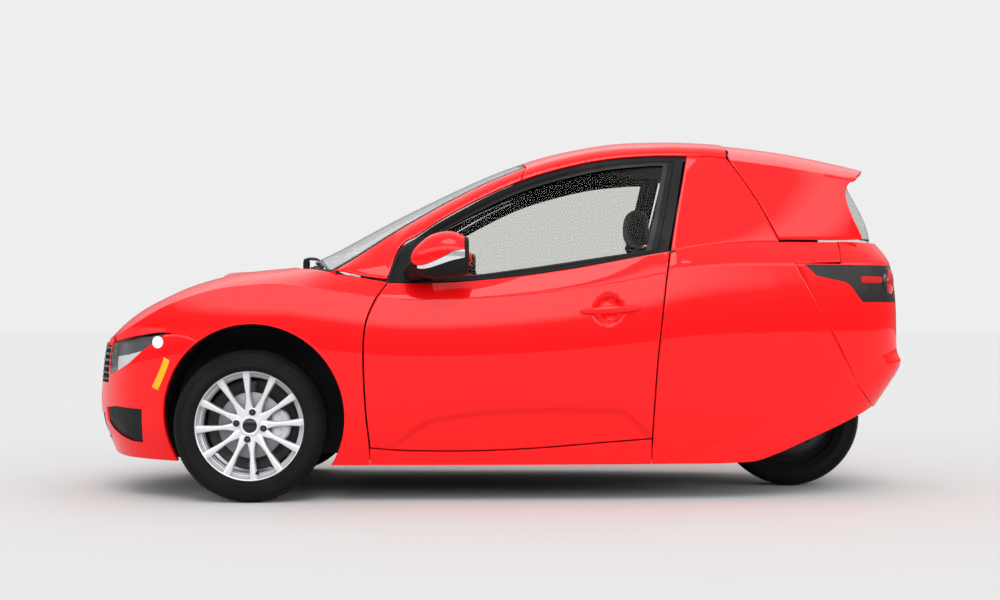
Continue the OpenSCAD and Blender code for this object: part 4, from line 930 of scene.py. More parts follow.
door_rows = []
for v in [*steps(60)[:-1], 0.99, 0.996, 1, 1.05, 1.1, *(1 + t for t in steps(18)[3:])]:
    row = []
    for u in range(121):
        s = u / 120
        x = mix(430, -590, s)
        for _ in range(3):
            foot, c, b = rail(x, DOOR_FOOT), rail(x, CREASE), rail(x, BELT, 2)
            z = mix(foot, c, v) if v <= 1 else mix(c, b, v - 1)
            x = mix(rail(z, DOOR_FRONT) - GAP / 2, rail(z, DOOR_REAR) + GAP / 2, s)
        if v <= 1:
            row.append(on_side(x, z) if v < 1 else on_crease(x))
        else:
            t = v - 1
            c, b = on_crease(x), on_rail(x, BELT)
            row.append(np.array([x, mix(c[1], b[1], t ** 1.3), mix(c[2], b[2], t)]))
    door_rows.append(row)
both_sides("door_panel", [door_rows], RED, ("door_left", "door_right"), ["door"], depth=14)
# Core of the door in dark cabin plastic: its inner face is the door's real trim, and its dark edges in the
# shut lines are painted shade
inset = [[mix(np.array([-80, p[1], 500]), p, 0.985) - (0, 15, 0) for p in row[::2]] for row in door_rows[::2]]
both_sides("door_core", [inset], CABIN, ("door_left", "door_right"), depth=42, rim=6)

# ---------------------------------------------------------------- tail and hatch
def tail_grid(back=0.0, across=60):
    grid = []
    for i in range(45):
        z = mix(322, 850, i / 44)
        seam = rail(z, REAR_SEAM) - GAP / 2
        shared = min(DECK_CORNER, seam - 25)
        row = []
        for j in range(-across, across + 1):
            s, inner = abs(j) / across, 0.7
            outer, middle = tail_turn(seam, z), tail_turn(shared, z)
            turn = mix(90, middle, s / inner) if s <= inner else mix(middle, outer, (s - inner) / (1 - inner))
            p, q = tail_point(turn, z), tail_point(turn + 0.5, z)
            n = np.array([q[1] - p[1], p[0] - q[0], 0])
            n /= np.linalg.norm(n) + 1e-9
            # The fold of the skirt runs on round the corner and fades out towards the number plate
            fold = 9 * math.exp(-abs(z - rail(p[0], SKIRT)) / 45) * ease((p[0] + 1525) / 70)
            p = p - n * (back + fold)
            row.append(np.array([p[0], math.copysign(p[1], j) if j else 0.0, p[2]]))
        grid.append(row)
    return grid


tail = tail_grid()
count = len([j for j in range(-60, 61) if abs(j) / 60 <= 0.7])
first = (121 - count) // 2
ridge = tail[-1][first:first + count]
deck = []
for t in steps(14):
    row = []
    for k, p in enumerate(ridge):
        s = (k - (count - 1) / 2) / ((count - 1) / 2)
        q = np.array([mix(-1452, DECK_CORNER, abs(s) ** 3),
                      math.copysign(425 * abs(s) ** 0.7, s) if s else 0, 934])
        row.append(np.array([mix(p[0], q[0], t), mix(p[1], q[1], t), mix(850, 934, t ** 0.7)]))
    deck.append(row)
tail_cut = prisms(TAIL_LAMP, 290, 800)
panel("rear_bumper_panel", [tail, deck], RED, depth=12, replaces=["rear_bumper"], cutters=tail_cut,
      inside=CABIN)

hatch_grid = []
for i in range(61):
    u = i / 60
    left = []
    for t in steps(20)[:-1]:
        front = seam_x(lambda x: high_z(x, t, 8, -2), HATCH_SEAM, -940) - GAP / 2
        back = seam_x(lambda x: high_z(x, t, 8, -2), HATCH_TAIL, -1330)
        x = mix(front, back, u)
        y = mix(rail(x, SHELF), rail(max(x, EAVE_END), EAVE), t ** SIDE_LEAN)
        left.append(np.array([x, y, high_z(x, t, 8, -2)]))
    arc = []
    for s in np.linspace(1, -1, 49):
        x = mix(mix(-852, -856, s * s), mix(-1418, -1330, s * s), u)
        e = on_rail(max(x, EAVE_END), EAVE)
        arc.append(np.array([x, s * e[1], e[2] + (rail(x, ROOF_TOP) - e[2]) * (1 - abs(s) ** CROWN_POWER)]))
    hatch_grid.append(left + arc + [np.array([p[0], -p[1], p[2]]) for p in reversed(left)])
panel("hatch_panel", [hatch_grid], RED, "hatch", depth=14, replaces=["hatch"], inside=LINING)

rear_pane = []
for v in range(25):
    z = mix(944, 1158, v / 24)
    edge = rail(z, HATCH_TAIL) + 8
    a, b = on_rail(edge, SHELF), on_rail(max(edge, EAVE_END), EAVE)
    w = mix(a[1], b[1], clamp((z - 936) / (b[2] - 936)) ** SIDE_LEAN) - 26
    rear_pane.append([np.array([mix(rail(z, GLASS_TAIL), edge, s * s), s * w, z])
                      for s in np.linspace(-1, 1, 41)])
panel("hatch_glass_pane", [rear_pane], SIDE_GLASS, "hatch", depth=5, rim=1, replaces=["hatch_glass"],
      slot="glass")

# ---------------------------------------------------------------- wheels
TREAD_COUNT, SPOKES, LUGS = 72, 12, 4
# Turns of the first spoke and the first lug seat from upright, and the lugs' distance from the axle
SPOKE_TURN, LUG_TURN, LUG_RADIUS = math.radians(4), math.radians(-10.6), 49


def tyre(bead):
    """Carcass with grooves, centred on the origin, and the blocks of its tread."""
    half_line = [(268, 4), (261, 4.5), (261, 11.5), (268, 12), (267.6, 30), (261, 30.5), (261, 37.5),
                 (267, 38), (265.5, 58), (262, 66), (257, 72), (248, 77.5), (238, 80.5), (226, 82),
                 (214, 81), (212.5, 81.6), (210.5, 80.2), (205, 76), (bead + 5, 70), (bead + 1, 66),
                 (bead, 62)]
    profile = [(r, -y) for r, y in reversed(half_line)] + half_line
    carcass, blocks, pitch = turned(profile, 144), [], math.tau / TREAD_COUNT
    for low, high, crown, foot in ((13, 29.5, 269.8, 264), (39, 57, 268.4, 262)):
        for side in (-1, 1):
            for start, end in ((0.04, 0.46), (0.54, 0.96)):
                slant = 0.1 * side
                corners = ((start, low), (end, low), (end + slant, high), (start + slant, high))
                blocks.append(lofted([[(r * math.sin(pitch * v), side * y, r * math.cos(pitch * v))
                                       for v, y in corners] for r in (foot, crown)]))
    shoulder = [(264.1, 60), (257.6, 75.3), (247.6, 81.4), (240, 82), (236, 76), (255, 60)]
    for side in (-1, 1):
        for start, end in ((0.02, 0.36), (0.52, 0.86)):
            blocks.append(lofted([[(r * math.sin(pitch * v), side * y, r * math.cos(pitch * v))
                                   for r, y in shoulder] for v in (start, end)]))
    return carcass, ring_of(joined(*blocks), TREAD_COUNT, RUBBER)


def wheel_pair(name, mesh, material, replaces=(), smooth=40, bodies=("wheel_left", "wheel_right")):
    pair(name, placed(mesh, FRONT_AXLE, WHEEL_Y, WHEEL_R), material, bodies, replaces, smooth)


carcass, tread = tyre(194.6)
wheel_pair("tyre_carcass", carcass, RUBBER, ["tyre"])
wheel_pair("tyre_tread", tread, RUBBER, smooth=0)

barrel = [(198, 60.3), (203.5, 59), (204, 56), (200.5, 54), (196.5, 53.5), (194.6, 50), (194.2, 38),
          (186, 30), (184, 20), (184, -30), (192, -40), (194.4, -52), (200, -57), (200, -60.4),
          (192, -60.4), (188, -50), (176, -40), (172, -30), (172, 8), (176, 12), (177, 22), (184, 28),
          (186, 34), (187.5, 36), (190, 44), (190.5, 48), (195, 51), (197.5, 55)]
rim = turned(barrel, 144)
hub = turned([(26, 41), (30, 42), (34, 41.5), (36, 38), (38, 33.5), (50, 33.5), (59, 33), (62, 30), (62, 20),
              (58, 12), (30, 10), (24, 12), (24, 36)], 96)
spoke_rings = []
for r in np.linspace(40, 191, 14):
    t = (r - 40) / 151
    wide = mix(mix(16.5, 7.6, ease(t / 0.4)), 12.6, ease((t - 0.45) / 0.55)) if t < 0.9 else 12.8
    face, back = mix(34, 46, t ** 1.3) + 2.2 * math.sin(math.pi * t), mix(16, 26, t)
    spoke_rings.append([(-wide - 1.2, back, r), (-wide - 0.6, face - 5, r), (-wide + 1.8, face - 0.8, r),
                        (-wide + 4, face, r), (wide - 4, face, r), (wide - 1.8, face - 0.8, r),
                        (wide + 0.6, face - 5, r), (wide + 1.2, back, r)])
spokes = ring_of(lofted(spoke_rings), SPOKES, ALLOY, SPOKE_TURN)
wheel_pair("rim_barrel", rim, ALLOY, ["rim"])
wheel_pair("rim_hub", hub, ALLOY)
wheel_pair("rim_spokes", spokes, ALLOY, smooth=25)


def lugs(profile, segments, material):
    """A turned profile set at each wheel bolt."""
    return ring_of(placed(turned(profile, segments), 0, 0, LUG_RADIUS), LUGS, material, LUG_TURN)


wheel_pair("lug_seats", lugs([(11.4, 33), (12.4, 38.4), (14.5, 37.4), (15, 30), (11.4, 30)], 28, ALLOY),
           ALLOY)
wheel_pair("lug_pits", lugs([(0.0, 37.2), (11.6, 37.2), (11.6, 31), (0.0, 31)], 24, BLACK_STEEL), TRIM)
wheel_pair("lug_bolts", lugs([(0.0, 41), (5, 41), (7.6, 39.6), (8, 36), (8, 31), (0.0, 31)], 6, BLACK_STEEL),
           BLACK_STEEL, smooth=20)
wheel_pair("centre_cap", turned([(0.0, 43.4), (18, 42.8), (23, 41), (24.4, 38.5), (24.4, 30), (0.0, 30)], 48),
           GLOSS_BLACK)
valve = joined(turned([(0.0, 30), (3.6, 30), (4.2, 28), (4.2, 12), (3, 10), (3, 2), (0.0, 2)], 16),
               turned([(0.0, 12), (6, 12), (7, 9), (7, 4), (0.0, 4)], 16))
wheel_pair("tyre_valve", placed(valve, -24, 18, -168), TRIM)

# Vented disc: two plates with vanes between them, and the hat bolted to the hub
plates = joined(turned([(62, -3), (117, -3), (118, -3.8), (118, -6), (62, -6)], 96),
                turned([(62, -10), (118, -10), (118, -12.2), (117, -13), (62, -13)], 96),
                turned([(30, 20), (56, 20), (60, 16), (61, 2), (66, -4), (66, -12), (56, -12), (56, 12),
                        (30, 14)], 96))
vane = lofted([[(-1.6, y, r) for y, r in ((-6.2, 66), (-9.8, 66), (-9.8, 116), (-6.2, 116))],
               [(1.6, y, r) for y, r in ((-6.2, 66), (-9.8, 66), (-9.8, 116), (-6.2, 116))]])
wheel_pair("disc_plates", plates, STEEL, ["brake_disc"])
wheel_pair("disc_vanes", ring_of(vane, 48, STEEL), STEEL, smooth=0)

# Caliper over the disc's rear edge, with its bridge, pistons and guide bolts
caliper_rings = []
for a in np.linspace(153, 207, 13):
    out = 140 - 16 * (abs(a - 180) / 27) ** 3
    low = 72 + 10 * (abs(a - 180) / 27) ** 2
    c, s = -math.cos(math.radians(a - 180)), math.sin(math.radians(a - 180))
    shape = [(low, -36), (out - 8, -36), (out, -28), (out, 4), (out - 6, 10), (low + 6, 12), (low, 8),
             (low, 3.5), (124, 3.5), (124, -19.5), (low, -19.5)]
    caliper_rings.append([(c * r, y, s * r) for r, y in shape])
caliper = rounded(lofted(caliper_rings), 2.2, 2, 50)
extras = [caliper]
for a in (166, 194):
    c, s = -math.cos(math.radians(a - 180)), math.sin(math.radians(a - 180))
    extras.append(turned([(0.0, 13.4), (14, 13), (17, 10), (17, 4), (0.0, 4)], 28, (c * 98, 0, s * 98)))
    extras.append(turned([(0.0, 14), (5, 14), (6.4, 12.6), (6.4, 2), (0.0, 2)], 6, (c * 128, 0, s * 128)))
wheel_pair("caliper_body", joined(*extras), CALIPER, ["caliper"],
           bodies=("steered_left", "steered_right"))

# Rear wheel: dished steel disc
carcass, tread = tyre(182.6)
dish = turned([(188, 60.3), (190.5, 58), (190.5, 55), (184, 52), (182.4, 46), (182.4, 36), (168, 26),
               (168, -26), (182.4, -36), (182.4, -52), (190.5, -57), (190.5, -60.3), (184, -60.3),
               (177, -50), (163, -30), (163, 18), (158, 26), (150, 33), (130, 40), (100, 41), (84, 36),
               (72, 24), (66, 20), (0.0, 20), (0.0, 26), (60, 26), (70, 32), (82, 44), (100, 48),
               (134, 47), (156, 40), (166, 30), (178, 42), (180, 50), (184, 57)], 144)
vent_hole = placed(turned([(0.0, 48.6), (9, 48.6), (10, 47.5), (10, 40), (0.0, 40)], 20), 0, 0, 118)
nut = placed(turned([(0.0, 36), (6, 36), (9, 33), (9, 22), (0.0, 22)], 6), 0, 0, 46)


def rear_wheel(name, mesh, material, replaces=(), smooth=40):
    keep(name, placed(mesh, REAR_AXLE, 0, WHEEL_R), material, "rear_wheel", replaces, smooth)


rear_wheel("rear_wheel_disc", dish, WHEEL_STEEL, ["rear_rim"])
rear_wheel("rear_wheel_vents", ring_of(vent_hole, 10, TRIM), TRIM)
rear_wheel("rear_wheel_nuts", ring_of(nut, 5, STEEL), STEEL, smooth=20)
rear_wheel("rear_tyre_carcass", carcass, RUBBER, ["rear_tyre"])
rear_wheel("rear_tyre_tread", tread, RUBBER, smooth=0)

# ---------------------------------------------------------------- lamps, grilles and markers
def within(grid, depth, tools):
    """A plate of a panel's own surface, kept only inside the given outline."""
    solid = ("SOLIDIFY", dict(thickness=depth * MM, offset=-1))
    return joined(*(finished(sheets("plate", [grid]), solid, meeting=[tool]) for tool in tools))


def circle(x, z, r, n=40):
    return [(x + r * math.cos(math.tau * k / n), z + r * math.sin(math.tau * k / n)) for k in range(n)]


lens_tools = prisms([mix(np.array([1320, 530]), np.array(p), 0.985) for p in LAMP], 230, 760)
keep("headlight_lenses", within(bumper_grid(0.6), 3, lens_tools), LENS,
     replaces=["headlights"])
keep("headlight_housings", within(bumper_grid(46, 80, 46), 4, lens_tools), TRIM)
bright = [(1262, 536), (1330, 520), (1395, 512), (1402, 462), (1381, 458), (1321, 486)]
end_cap = [(1409, 552), (1446, 548), (1448, 440), (1409, 452)]
keep("headlight_masks", within(bumper_grid(26), 3, lens_tools), LAMP_GREY)
keep("headlight_reflectors", within(bumper_grid(19), 3, prisms(bright, 230, 760) + prisms(end_cap, 230, 760)),
     CHROME)
keep("headlight_rings", within(bumper_grid(-0.8), 3, prisms(circle(1202, 567, 21.7), 400, 760)), LENS_WHITE)


def nose_patch(z_low, z_high, y_half, rows, cols, back):
    """Points over the nose between two heights."""
    patch = []
    for i in range(rows):
        z, line = mix(z_low, z_high, i / (rows - 1)), []
        for j in range(cols):
            y = mix(-y_half, y_half, j / (cols - 1))
            w = rail(NOSE_START, WIDEST) * share(NOSE_START, z)
            turn = math.degrees(math.acos(clamp(abs(y) / w) ** (NOSE_POWER / 2)))
            line.append(np.array([nose_point(turn, z)[0] - back, y, z]))
        patch.append(line)
    return patch


upper_mesh = wires(nose_patch(416, 551, 404, 11, 61, 4), 2.6, TRIM)
lower_mesh = wires(nose_patch(206, 299, 327, 7, 45, 8), 2.4, TRIM)
keep("front_grille_mesh", joined(upper_mesh, lower_mesh), TRIM)
studs = [brick((p[0] - 14, p[1] - 5, p[2] - 4.5), (p[0] + 4, p[1] + 5, p[2] + 4.5), 2, 1)
         for row in nose_patch(428, 542, 394, 6, 26, 4) for p in row]
keep("front_grille_studs", joined(*studs), STEEL)
keep("front_grille_backs", within(bumper_grid(10), 4, [box_tool((1300, -404, 416), (1600, 404, 551)),
                                                       box_tool((1300, -328, 207), (1600, 328, 298))]), TRIM,
     replaces=["front_grille"])
keep("corner_intake_blanks", within(bumper_grid(7), 5, prisms(INTAKE, 373, 739)), TRIM)
tow_disc = turned([(0.0, 1504), (17, 1503), (19.6, 1500), (19.6, 1490), (0.0, 1490)], 32, (0, *TOW), "X")
keep("tow_cover", tow_disc, RED)

marker_rows = []
for t in steps(8):
    lift = []
    for k, x in enumerate(np.linspace(mix(1153, 1200, t ** 1.2), mix(1175, 1224, t ** 1.2), 5)):
        z = mix(508, 401, t) + (x - mix(1164, 1212, t ** 1.2)) * 0.5
        p = on_side(x, z)
        lift.append(p + np.array([0.35, 0.94, 0]) * (3.5 + 1.6 * (k in (1, 2, 3)) * (0 < t < 1)))
    marker_rows.append(lift)
both_sides("side_marker", [marker_rows], AMBER, depth=3, rim=0.8, slot="amber_lens")
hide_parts("side_markers")
inlet_rows = [[np.array([x, y, on_top(x, y)[2] + bulge(x, y) - 7]) for y in np.linspace(-130, 130, 53)]
              for x in np.linspace(1051, 1147, 21)]
keep("hood_inlet_mesh", wires(inlet_rows, 1.3, GREY_MESH), GREY_MESH, "hood")
inlet_floor = [[p - (0, 0, 5) for p in row] for row in inlet_rows]
panel("hood_inlet_pan", [inlet_floor], TRIM, "hood", depth=3, rim=0.8, replaces=["hood_inlet"],
      slot="black_trim")

# ---------------------------------------------------------------- door glass, frames, mirrors and handles
WINDOW = [[192, 965, 585], [50, 1043, 557], [-97, 1111, 533], [-245, 1157, 516], [-394, 1190, 508],
          [-543, 1206, 504], [-612, 1208, 502], [-592, 1110, 547], [-565, 990, 598], [-538, 893, 634],
          [-386, 870, 643], [-240, 848, 649], [-86, 826, 653], [110, 806, 655], [170, 850, 641],
           [183, 905, 613]]
FRAME = [[240, 966, 598], [56, 1076, 561], [-97, 1145, 532], [-246, 1191, 512], [-394, 1222, 500],
         [-544, 1236, 490], [-686, 1238, 481], [-657, 1090, 550], [-633, 975, 603], [-613, 890, 640],
         [-386, 848, 655], [-240, 824, 662], [-86, 803, 666], [150, 781, 667], [376, 780, 666],
         [340, 886, 619]]


def around(table, corners=((0, 6), (6, 9), (9, 14), (14, 15), (15, 16)), each=8):
    """Closed outline through a table of (length, height, width), smooth between its corners."""
    points = [(x, y, z) for x, z, y in table] + [(table[0][0], table[0][2], table[0][1])]
    line = []
    for a, b in corners:
        line += curve_through(points[a:b + 1], each)[:-1]
    return line


inner_line, outer_line = around(WINDOW), around([[p[0], p[1] + 1, p[2] - 0.5] for p in FRAME])


def frame_ring(start, end, lift, depth):
    """Band of the window frame between two shares of its width."""
    rings = []
    for o, i in zip(outer_line, inner_line):
        a, b = mix(o, i, start), mix(o, i, end)
        out = np.array([0, lift, 0.3 * lift])
        rings.append([a, a + out, b + out, b, b - (0, depth, 0), a - (0, depth, 0)])
    return rounded(lofted(rings, loop=True), 0.7, 1, 50)


doors = ("door_left", "door_right")
pair("window_frame_trim", joined(frame_ring(0.0, 0.5, 0, 32), frame_ring(0.52, 0.8, -1.5, 30)), TRIM, doors,
     ["window_frame"])
pair("window_seal", frame_ring(0.8, 1.04, 0.4, 13), SEAL, doors)
pane_top = curve_through([(x, y - 9, z) for x, z, y in WINDOW[:7]], 8)
pane_low = curve_through([(x, y - 9, z) for x, z, y in WINDOW[14:7:-1]], 8)
pane_grid = [[mix(a, b, t) + (0, 24 * t * (1 - t), 0) for a, b in zip(pane_top, pane_low)] for t in steps(12)]
# The pane runs into its seal all round
pane_grid = [[p + (np.array([-205, 0, 1015]) - p) * (-0.014, 0, -0.022) for p in row] for row in pane_grid]
both_sides("door_glass_pane", [pane_grid], SIDE_GLASS, doors, ["door_glass"], depth=4, rim=0.8, slot="glass")

# Mirror: rings from the glass forwards; the cap, the bright strip and the base share their seams
MIRROR = [(98, 806, 868, 62, 62), (112, 806, 869, 72, 71), (150, 806, 873, 78, 80), (190, 806, 870, 77, 80),
          (226, 808, 864, 70, 74), (258, 811, 857, 56, 57), (280, 813, 855, 34, 36), (291, 814, 856, 12, 14)]


def mirror_ring(x, grow, start, end, count=33):
    i = [rail(x, [(m[0], m[k]) for m in MIRROR]) for k in range(1, 5)]
    ring = []
    for k in range(count):
        a = math.radians(mix(start, end, k / (count - 1)))
        c, s = math.cos(a), math.sin(a)
        ring.append((x, i[0] + (i[2] + grow) * math.copysign(abs(c) ** 0.8, c),
                     i[1] + (i[3] + grow) * math.copysign(abs(s) ** 0.8, s)))
    return ring


def mirror_shell(start, end, low, high, grow, depth):
    """Part of the mirror's skin between two angles, which may drift along its length."""
    rings = []
    for x in np.linspace(low, high, 22):
        t = clamp((x - 100) / 190)
        a, b = mix(start[0], start[1], t), mix(end[0], end[1], t)
        rings.append(mirror_ring(x, grow, a, b) + list(reversed(mirror_ring(x, grow - depth, a, b))))
    return lofted(rings)


core = lofted([mirror_ring(x, -4, 0, 360, 49)[:-1] for x in (100, 112, 150, 195, 240, 270, 288)])
stalk = lofted([[(x + dx, y, z + dz) for dx, dz in ((-46, -26), (34, -30), (56, 2), (40, 18), (-40, 16))]
                for x, y, z in ((272, 654, 814), (268, 690, 818), (258, 740, 826), (246, 790, 836))])
pair("mirror_cap", mirror_shell((13, -26), (176, 176), 106, 291, 0, 3), RED, doors, ["mirror"])
pair("mirror_strip", mirror_shell((-3, -38), (12, -27), 104, 268, 0.8, 3.6), CHROME, doors)
pair("mirror_base", joined(core, rounded(stalk, 4, 3),
                           mirror_shell((-184, -184), (-4, -39), 106, 291, 0, 3)), TRIM, doors)
plate = lofted([[(x, y, z) for _, y, z in mirror_ring(106, -12, 0, 360, 49)[:-1]] for x in (94, 99)])
bezel = [[(x, y, z) for _, y, z in mirror_ring(106, grow, 0, 360, 49)] for x, grow in
         ((92, -11), (94, -5), (108, -1.5), (108, -11))]
pair("mirror_bezel", lofted(bezel, loop=True), TRIM, doors)
pair("mirror_glass", plate, CHROME, doors)

handle_path = []
for t in steps(24):
    x = mix(-297, -514, t)
    out = half(x, 684) + 4 + 22 * (math.sin(math.pi * t) ** 0.45 if 0 < t < 1 else 0)
    r = 3 + 10 * math.sin(math.pi * t) ** 0.5 if 0 < t < 1 else 2.5
    handle_path.append((x, out, mix(676, 688, t), r))
bar = lofted([[(x, y + 0.45 * r * math.cos(math.tau * k / 16), z + r * math.sin(math.tau * k / 16))
               for k in range(16)] for x, y, z, r in handle_path])
pair("handle_bar", bar, RED, doors, ["door_handle"])

# ---------------------------------------------------------------- tail lamps
keep("tail_lamp_housings", within(tail_grid(0.5), 11, tail_cut), GLOSS_TAIL,
     replaces=["tail_lamps"])
pill = [(x + 12 * math.cos(a), 794 + 12 * math.sin(a)) for x, first in ((-1349, -90), (-1419, 90))
        for a in np.radians(np.linspace(first, first + 180, 13))]
keep("tail_markers", within(tail_grid(-1.4), 4, prisms(pill, 300, 800)), RED_LENS)
lamp_face = [(0.0, -16), (20, -15.4), (40, -12), (50, -5), (52, 0), (52, 14), (0.0, 14)]
collar = [(50, -5), (55, -6), (58, -2), (60, 34), (50, 34)]


def round_lamps(profile):
    """The pair of round lamps, each leaned outwards with the corner of the tail."""
    pods = []
    for s in (-1, 1):
        pods.append(turned(profile, 64, axis="X"))
        pods[-1].transform(Matrix.Translation((-1.466, s * 0.335, 0.783))
                           @ Matrix.Rotation(math.radians(-24 * s), 4, "Z"))
    return joined(*pods)


keep("round_tail_lamps", round_lamps(lamp_face), RED_LENS)
keep("tail_lamp_collars", round_lamps(collar), GLOSS_TAIL)

# ---------------------------------------------------------------- cowl and wipers
cowl_rows = []
for i in range(13):
    row = []
    for j in range(-32, 33):
        s, t = j / 32, i / 12
        rear, front = screen_foot(s) + 5, mix(HOOD_REAR, 612, abs(s) ** 6)
        y0, y1 = s * 600, s * mix(432, 598.2, abs(s) ** 8)
        z0, z1 = on_roof(rear, s)[2] - 6, on_top(HOOD_REAR, min(abs(y1), 425))[2] - 10
        sag = 5 + 4 * math.sin(math.pi * t)
        row.append(np.array([mix(rear, front, t), mix(y0, y1, t), mix(z0, z1, t) - sag]))
    cowl_rows.append(row)
panel("cowl_panel", [cowl_rows], TRIM, depth=9, rim=1.5, replaces=["cowl"], slot="black_trim")
slats = [tube([cowl_rows[i][j] + (0, 0, 1.5) for j in range(10, 55)], 2.2, 8) for i in (3, 5, 7, 9)]
keep("cowl_slats", joined(*slats), SEAL)
arms, blades = [], []
for s in (-1, 1):
    base = np.array([716, s * 250, 850])
    arms += [turned([(0.0, -12), (13, -12), (13, 14), (11, 22), (7, 27), (0.0, 28)], 32, tuple(base), "Z"),
             tube([base + (0, 0, 17), base + (0, -50, 28), base + (-4, -150, 33), base + (-9, -280, 36)],
                  [6, 5.4, 4.4, 3.4], 10)]
    blades.append(tube([base + (-2 - 12 * t, -60 - 250 * t, 27 + 5 * t) for t in steps(8)], 4, 8))
keep("wiper_arms", joined(*arms), TRIM, replaces=["wipers"])
keep("wiper_blades", joined(*blades), SEAL)

# ---------------------------------------------------------------- rubber seals behind the shut lines
rear_line = [(mix(-1444, DECK_CORNER, abs(v) ** 3), math.copysign(416 * abs(v) ** 0.7, v), 927)
             for v in np.linspace(-1, 1, 60)]
side_line = [(x, rail(x, SHELF) - 11, rail(x, SHELF, 2) - 6) for x in np.linspace(-1045, -1255, 12)]
roof_line = [on_roof(-849 - 4 * v * v, v) - (0, 0, 21) for v in np.linspace(-0.97, 0.97, 41)]
keep("hatch_seal", joined(tube([(x, -y, z) for x, y, z in side_line] + rear_line + side_line[::-1], 6.5, 10),
                          tube(roof_line, 11, 10)), SEAL)
eave_line = curve_through([(x, y - 12, z - 11) for x, y, z in EAVE[4:]], 6)
pillar_line = [(x, y - 14, z - 9) for x, y, z in PILLAR_FOOT + [[612, 606, 822], [650, 560, 824]]]
pair("door_top_seal", joined(tube(eave_line, 9, 10), tube(pillar_line, 10, 10)), SEAL)
belt_line = curve_through([(x, y - 9, z - 3) for x, y, z in BELT], 6)
pair("belt_seal", tube(belt_line, 6, 10), SEAL, doors)

# ---------------------------------------------------------------- linings of the cabin
def shifted(grid, x=0, y=0, z=0):
    return [[p + np.array([x, math.copysign(y, p[1]) * -1 if y else 0, z]) for p in row] for row in grid]


lined = dict(depth=4, rim=1, slot="cabin_plastic")
roof_middle = [row[5:-5:2] for row in roof_grid[::2]]
roof_side = [[band(x, x - 18, t) + (0, 0, 6) for t in steps(6)] for x in np.linspace(-60, -830, 40)]
pillar_back = [row[1:-1] for row in pillar_grid[6::2]]
quarter_back = [row[2:-2:2] for row in upper[1:-1:2]]
panel("roof_lining", [shifted(roof_middle, z=-19)], LINING, **lined)
both_sides("pillar_lining", [shifted(pillar_back, y=14, z=-9)], LINING, **lined)
both_sides("roof_side_lining", [shifted(roof_side, y=17, z=-12)], LINING, **lined)
both_sides("quarter_lining", [shifted(quarter_back, y=18)], LINING, **lined)
keep("cabin_carpet", brick((-678, -512, 158.6), (484, 512, 165), 2), CARPET)
armrest = slab([(300, 520), (320, 560), (-330, 600), (-350, 560), (-300, 520)], 612, 640, 8, 3)
pocket = slab([(240, 260), (250, 380), (-250, 390), (-280, 260)], 600, 622, 8, 3)
pair("door_armrest", joined(armrest, pocket), CABIN, doors)

dash = []
for y in np.linspace(-558, 558, 41):
    hood = 16 * math.exp(-(y / 150) ** 2)
    bow = 26 * (abs(y) / 558) ** 2
    outline = [(487, 562), (487, 812), (452, 833 + hood), (392, 833 + hood * 1.3), (330, 828 + hood * 1.4),
               (284, 812 + hood), (262 - 6 * hood / 16, 796), (252, 768), (252, 738), (272, 700), (302, 640),
               (340, 590), (380, 562)]
    dash.append([(min(x + bow * (x < 440), 487), y, z) for x, z in outline])
keep("dashboard_top", rounded(lofted(dash), 5, 2, 45), CABIN, replaces=["dashboard"])
gauge = slab([(262, 792), (270, 838), (276, 840), (300, 838), (300, 792)], -118, 118, 4, 3)
keep("gauge_hood", gauge, CABIN)
keep("gauge_face", brick((258, -104, 797), (263, 104, 832), 1.5), GLOSS_BLACK)
VENTS = (-420, -230, 230, 420)
vent_boxes = [brick((248, y - 46, 744), (256, y + 46, 776), 2) for y in VENTS]
vent_bars = [brick((244, y - 42, z), (250, y + 42, z + 2.6), 0.8, 1) for y in VENTS
             for z in (748, 754, 760, 766, 771)]
keep("vent_housings", joined(*vent_boxes), GLOSS_BLACK)
keep("vent_bars", joined(*vent_bars), TRIM)

# Steering wheel in its own frame: the axis is Z, then leaned and set at the end of the column
COLUMN = Matrix.Translation((0.122, 0, 0.735)) @ Matrix.Rotation(math.radians(115), 4, "Y")


def on_column(mesh):
    mesh.transform(COLUMN)
    return mesh


grip = turned([(166 + 13.6 * math.cos(a), 13.6 * math.sin(a))
               for a in np.linspace(0, math.tau, 20, endpoint=False)], 96, axis="Z")
pad = turned([(0.0, -20), (30, -19), (50, -13), (58, -4), (56, 10), (40, 20), (22, 26), (17, 40), (17, 94),
              (0.0, 94)], 64, axis="Z")
arms = []
for a in (90, 180, 270):
    c, s = math.cos(math.radians(a)), math.sin(math.radians(a))
    arms.append(rounded(lofted([[(c * r - s * w, s * r + c * w, z) for w, z in
                                 ((-wide, -4), (wide, -4), (wide * 0.8, 5), (-wide * 0.8, 5))]
                                for r, wide in ((44, 22), (100, 13), (160, 12))]), 2))
keep("steering_grip", on_column(grip), LEATHER, "steering_wheel", ["steering_wheel"])
keep("steering_pad", on_column(joined(pad, *arms)), CABIN, "steering_wheel")
shroud = turned([(19, 97), (34, 97), (38, 102), (40, 220), (30, 224), (19, 224)], 48, axis="Z")
keep("column_shroud", on_column(shroud), CABIN)

